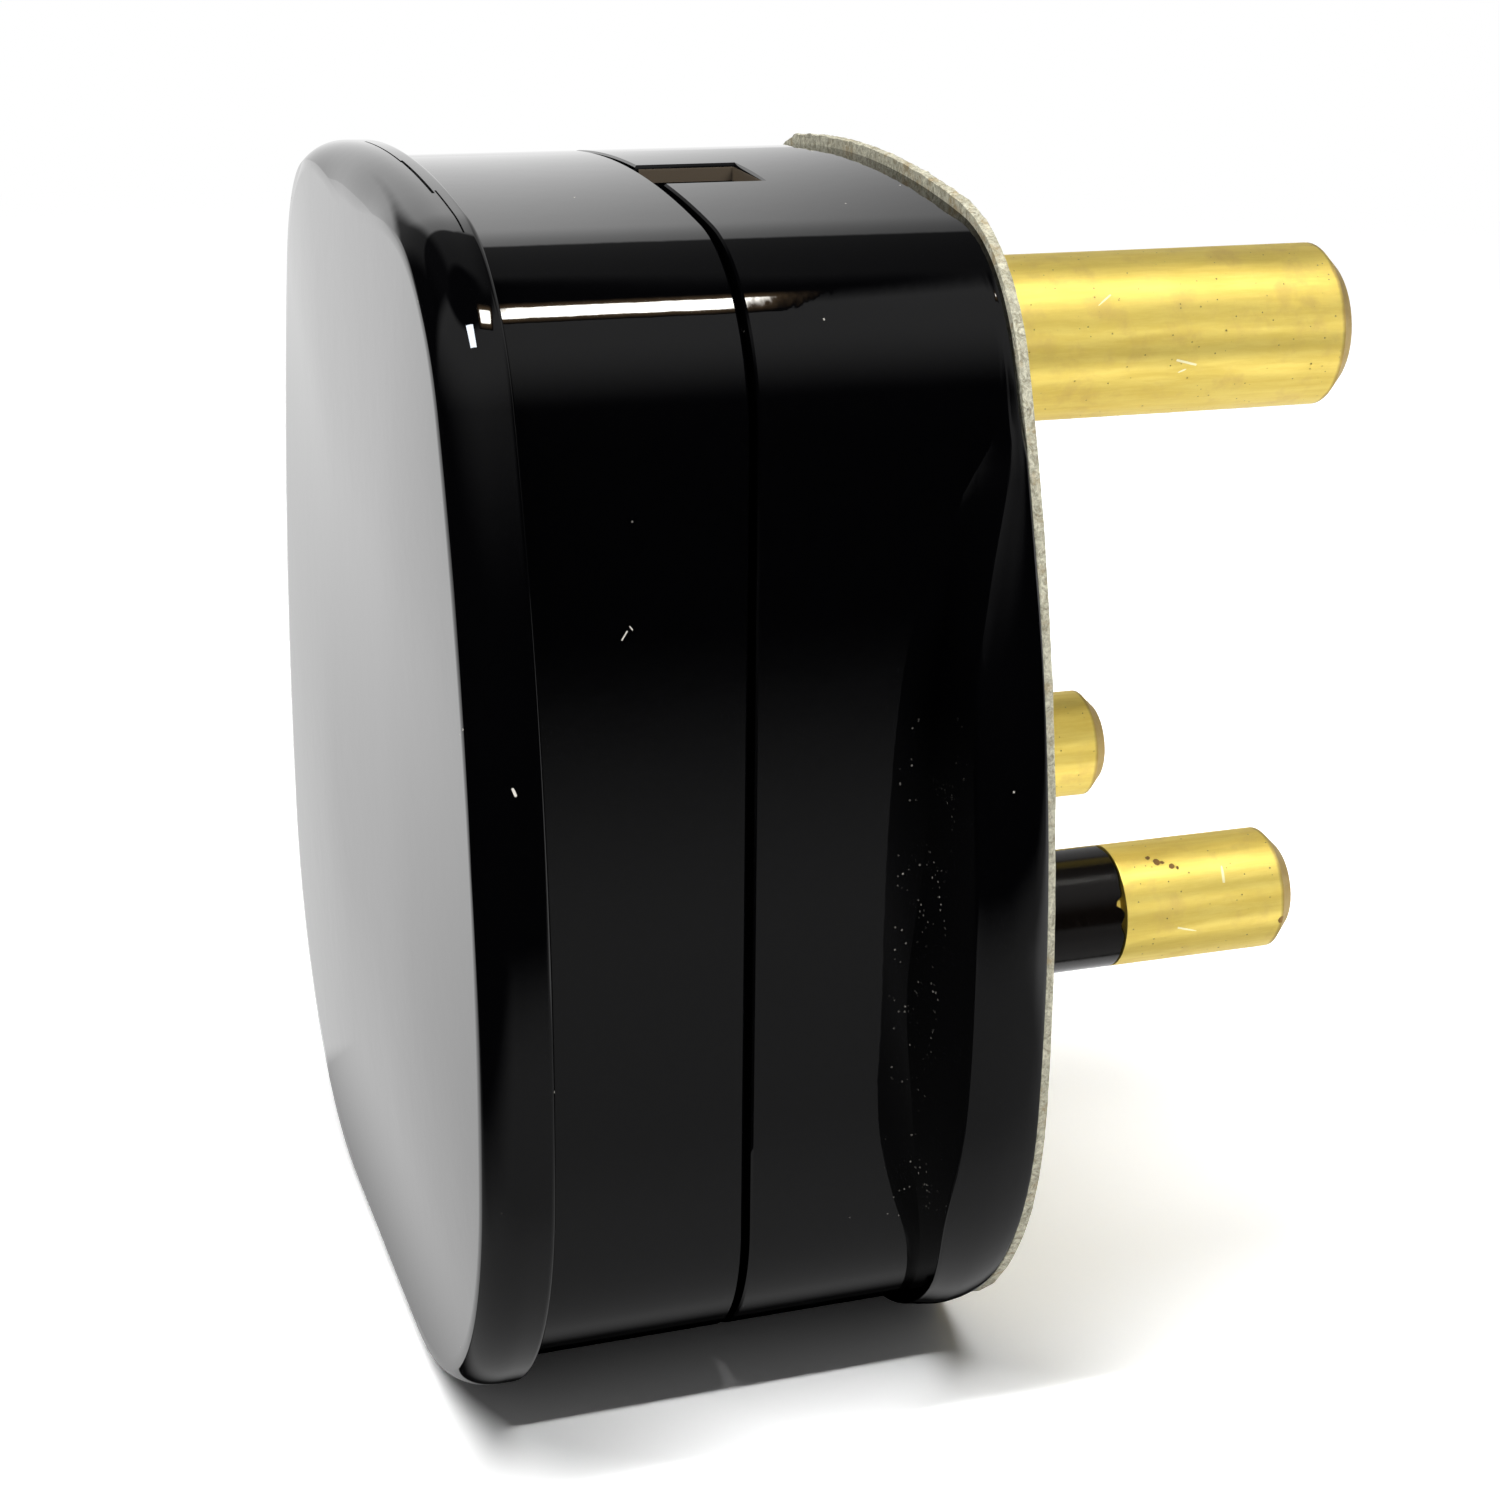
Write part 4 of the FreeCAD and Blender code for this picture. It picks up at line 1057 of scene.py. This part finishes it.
def hair_crack(x, wide, low_y, high_y):
    """A thin tool that follows the top of the rim."""
    ring = new_piece("hair", block(spread(rim, PAST), (x - wide / 2, x + wide / 2)))
    work(ring, "DIFFERENCE", [block(spread(rim, -HAIR_DEEP), (x - wide, x + wide))])
    work(ring, "INTERSECT", [brick((x - PAST, low_y, 0.0), (x + PAST, high_y, HAIR_TOP))])
    sheet = bmesh.new()
    sheet.from_mesh(ring.data)
    bpy.data.objects.remove(ring, do_unlink=True)
    return sheet


work(cover, "DIFFERENCE", [hair_crack(*hair) for hair in HAIRS])
dress(cover, "cover", moulding, crease=40)

# %% [markdown]
# ## Base
# The front half carries the pins. Its wall flares into a flange that is thick and crisp at the middle of
# each side, where fingers pull, and melts into the wall towards the top. Each ring of its skin sits at a
# share of the way from the wall outline to the lip outline, and slides along X with its own height, so the
# crest and the root of the flange can curve as the real ones do.

# %% How the flange's crest and root run down the side
FACE = -CARD
CREST = ((8.0, -0.9), (0.0, -1.0), (-5.0, -2.3), (-9.0, -3.1), (-17.0, -3.3), (-25.0, -3.4), (-30.0, -3.7),
         (-34.7, -3.1), (-39.2, -2.7))
ROOT = ((8.0, -1.1), (0.2, -1.2), (-2.4, -2.5), (-4.7, -2.85), (-10.0, -3.1), (-17.0, -3.6), (-22.0, -4.1),
        (-27.5, -3.7), (-31.0, -3.4), (-35.8, -2.85), (-39.2, -2.8))
SOFT = ((8.0, 0.10), (0.0, 0.12), (-4.0, 0.45), (-7.0, 0.40), (-9.5, 0.16), (-39.2, 0.16))
FLANGE_SHARE = ((8.0, 0.0), (5.5, 0.05), (2.5, 0.55), (-1.0, 1.0), (-39.2, 1.0))

wall_spots = points(WALL, 0.0)
lip_spots = points(LIP, 0.0)
flange_spots = []
for lip, wall in zip(lip_spots, wall_spots):
    proud = (lip - HEART).length > (wall - HEART).length
    flange_spots.append(wall.lerp(lip, along(FLANGE_SHARE, lip.z / MM)) if proud else wall)
print("crest runs from", CREST[0][1], "to", CREST[-1][1], "mm along X")

# %% Skin of the base
# Shares of the way from the card to the crest's rounding, and how far the band swells there in millimetres.
BAND = ((0.0, -0.10), (0.06, 0.0), (0.22, 0.10), (0.42, 0.17), (0.60, 0.17), (0.80, 0.10), (1.0, 0.0))
# Shares of the way from wall to lip on the crest's rounding, and the share of its softness left there.
ROUNDING = ((0.99, 0.4), (0.965, 0.1), (0.93, 0.0))
REAR_MIDDLE = {"share": 0.5, "crest": 0.54, "root": 0.46}


def flange_section(share, place_x, bulge=0.0):
    """A ring at a share of the way from wall to lip; place_x gives its X in mm from its height in mm."""
    section = []
    for wall, lip in zip(wall_spots, flange_spots):
        spot = wall.lerp(lip, share)
        reach = min((lip - wall).length / MM, 1.0)
        outward = (spot - HEART).normalized()
        spot = spot + outward * bulge * reach * MM
        spot.z = max(spot.z, -LIP["drop"] * MM)
        spot.x = place_x(spot.z / MM) * MM
        section.append(spot)
    return section


def band(share):
    """Places on the flange's outer band, at a share of the way from the card to the crest's rounding."""
    return lambda z: FACE + share * (along(CREST, z) + along(SOFT, z) - FACE)


def rounding(left):
    """Places on the crest's rounding, where the given share of its softness is left."""
    return lambda z: along(CREST, z) + left * along(SOFT, z)


def rear_middle(z):
    """Places half way down the flange's rear."""
    return REAR_MIDDLE["crest"] * along(CREST, z) + REAR_MIDDLE["root"] * along(ROOT, z)


sections = [flange_section(1.0, band(share), swell) for share, swell in BAND]
sections += [flange_section(share, rounding(left)) for share, left in ROUNDING]
sections += [
    flange_section(REAR_MIDDLE["share"], rear_middle),
    flange_section(0.0, lambda z: along(ROOT, z)),
    flange_section(0.0, lambda z: BASE_END + SEAM_ROUND),
    points(spread(WALL, -SEAM_ROUND), BASE_END),
]
sheet = bmesh.new()
stack(sheet, sections)
base = new_piece("base_moulding", sheet)
print("rings in the base's skin:", len(sections))

# %% Inside of the base, holes and the notch
GRIP_BOSS = 4.8
GRIP_X = -12.0
GRIP_PILOT = 2.6
GRIP_PILOT_END = -6.4
BASE_BOSS = -10.3
HEAD_RECESS = 6.24
RECESS_END = FACE - 2.2
NOTCH = {"x": (SEAM - PAST, SEAM + 4.2), "y": (-3.55, 0.55), "z": (5.75, 9.0)}
NOTCH_FLARE = {"from": 7.42, "out": 0.9}

flare = brick(*zip(NOTCH["x"], NOTCH["y"], (NOTCH_FLARE["from"], NOTCH["z"][1])))
flare_middle = Vector((sum(NOTCH["x"]) / 2, sum(NOTCH["y"]) / 2, 0.0)) * MM
for vert in flare.verts:
    if vert.co.z > NOTCH_FLARE["from"] * MM + NOTCH_FLARE["out"] * MM:
        away = vert.co - flare_middle
        vert.co.x += math.copysign(NOTCH_FLARE["out"] * MM, away.x)
        vert.co.y += math.copysign(NOTCH_FLARE["out"] * MM, away.y)
work(base, "DIFFERENCE", [block(spread(WALL, -WALL_THICK), (SEAM - PAST, FLOOR_X))])
work(base, "UNION", [rod(SCREW, (BASE_BOSS, FLOOR_X + PAST), BOSS)])
work(base, "UNION", [rod(spot, (GRIP_X, FLOOR_X + PAST), GRIP_BOSS) for spot in GRIPS])
work(base, "DIFFERENCE", [rod(spot, (FLOOR_X - PAST, PAST), wide) for spot, wide in PIN_HOLES])
work(base, "DIFFERENCE", [
    rod(SCREW, (BASE_BOSS - PAST, PAST), SCREW_BORE), rod(SCREW, (RECESS_END, PAST), HEAD_RECESS)])
work(base, "DIFFERENCE", [rod(spot, (GRIP_X - PAST, GRIP_PILOT_END), GRIP_PILOT) for spot in GRIPS])
work(base, "DIFFERENCE", [
    rod((SEAM, 0.0), (-WALL["drop"] - PAST, -WALL["drop"] + WALL_THICK + PAST), CORD_HOLE, axis="Z"),
    brick(*zip(NOTCH["x"], NOTCH["y"], NOTCH["z"])), flare,
])
dress(base, "base", moulding)

# %% [markdown]
# ## Card and sleeves
# The card is a sheet of pressed fibre that is cut to the flange and stands a little proud at the top. Its
# cut edge is ragged, so the rings round it are pushed in and out by noise. The sleeves are tubes, drawn as
# a section and spun round the pin, and their ends are nicked where they meet the bare brass.

# %% Fibre card with a ragged edge
CARD_RISE = 0.5
CARD_HOLES = ((EARTH, 7.46), (LINE, 5.48), (NEUTRAL, 5.48), (SCREW, 6.4))
RAGGED = 0.10
FIBRES_PER_MM = 2.2
FLAKE = 0.30
FLAKE_OVER = 0.32
FLAKES_PER_MM = 0.9
EDGE_RINGS = ((0.0, 0.03), (-0.08, 0.0), (-0.2, 0.02), (-0.32, 0.0), (-CARD, 0.03))

card_spots = points(grown(LIP, rise=CARD_RISE), 0.0)


def ragged_section(x, drawn_in):
    """The card's outline at one depth, drawn in a little and frayed by noise."""
    section = []
    for spot in card_spots:
        inward = (HEART - spot).normalized()
        fray = noise.noise(Vector((x * 3, spot.y / MM, spot.z / MM)) * FIBRES_PER_MM)
        flake = noise.noise(Vector((x * 6, spot.y / MM, spot.z / MM)) * FLAKES_PER_MM)
        depth = drawn_in + RAGGED * (0.5 + 0.5 * fray) - max(flake - FLAKE_OVER, 0.0) * FLAKE
        moved = spot + inward * depth * MM
        moved.x = x * MM
        section.append(moved)
    return section


sheet = bmesh.new()
stack(sheet, [ragged_section(x, drawn_in) for x, drawn_in in EDGE_RINGS])
card = new_piece("fibre_card", sheet)
work(card, "DIFFERENCE", [rod(spot, (-PAST, PAST), wide) for spot, wide in CARD_HOLES])
dress(card, "pin_face_card", fibre)

# %% Sleeves round the short pins
SLEEVE_END = 7.0
SLEEVE_ROUND = 0.12
SLEEVE_BORE, SLEEVE_NECK, SLEEVE_OUT = 1.91, 2.34, 2.54
SLEEVE_SECTION = (
    (FLOOR_X, SLEEVE_BORE), (FLOOR_X, SLEEVE_NECK), (0.0, SLEEVE_NECK), (0.0, SLEEVE_OUT),
    (SLEEVE_END / 2, SLEEVE_OUT), (SLEEVE_END - SLEEVE_ROUND, SLEEVE_OUT),
    (SLEEVE_END, SLEEVE_OUT - SLEEVE_ROUND), (SLEEVE_END, SLEEVE_BORE))
NICK = 0.22
NICKS_PER_MM = 0.75
# Each bite: its place round the pin and half its width in degrees, and its depth in millimetres.
BITES = ((24, 7, 0.42), (2, 9, 0.16), (-70, 6, 0.2), (150, 8, 0.3))
TUBE_STEPS = 96

sleeves = []
for label, spot in (("line_sleeve", LINE), ("neutral_sleeve", NEUTRAL)):
    centre = Vector((0.0, spot[0], spot[1])) * MM
    sheet = bmesh.new()
    corners = [sheet.verts.new(centre + Vector((x, 0.0, radius)) * MM) for x, radius in SLEEVE_SECTION]
    section = [sheet.edges.new(pair) for pair in zip(corners, corners[1:] + corners[:1])]
    bmesh.ops.spin(sheet, geom=corners + section, cent=centre, axis=(1, 0, 0), angle=2 * math.pi,
                   steps=TUBE_STEPS, use_merge=True)
    bmesh.ops.remove_doubles(sheet, verts=sheet.verts, dist=0.001 * MM)
    bmesh.ops.recalc_face_normals(sheet, faces=sheet.faces)
    for vert in sheet.verts:
        if vert.co.x > (SLEEVE_END - 2 * SLEEVE_ROUND) * MM:
            worn = max(noise.noise(vert.co / MM * NICKS_PER_MM), 0.0) * NICK
            round_pin = math.degrees(math.atan2(vert.co.z - centre.z, centre.y - vert.co.y))
            bite = max(deep * max(1 - abs(round_pin - turn) / half, 0.0) for turn, half, deep in BITES)
            vert.co.x -= (worn + bite) * MM
    sleeve = new_piece(label + "_tube", sheet)
    dress(sleeve, label, sleeve_black)
    sleeves.append(sleeve)

# %% [markdown]
# ## Which pieces each lamp reaches
# A lamp can be told which objects it lights and which ones throw its shadow. The front fill lights only the
# plug and the left fill only its mouldings and card, so that the shadow on the paper stays deep. The narrow
# fills are for the satin metal, and under the tube the pins throw no shadow.

# %% Link lamps to pieces
def group_of(name, members):
    """A collection that only the lamps use."""
    made = bpy.data.collections.new(name)
    for member in members:
        made.objects.link(member)
    return made


pins = [nodes[name] for name in ("earth_pin", "line_pin", "neutral_pin")]
body = [cover, base, card]
metal = group_of("satin_metal", pins)
casters = group_of("shadow_casters", body)
for fill in fills:
    fill.light_linking.receiver_collection = metal
    fill.light_linking.blocker_collection = casters
front_fill.light_linking.receiver_collection = group_of("whole_plug", pins + body + sleeves)
left_fill.light_linking.receiver_collection = group_of("mouldings", body)
overhead.light_linking.blocker_collection = casters
print("lamps that reach only some pieces:", len(fills + [front_fill, left_fill]))
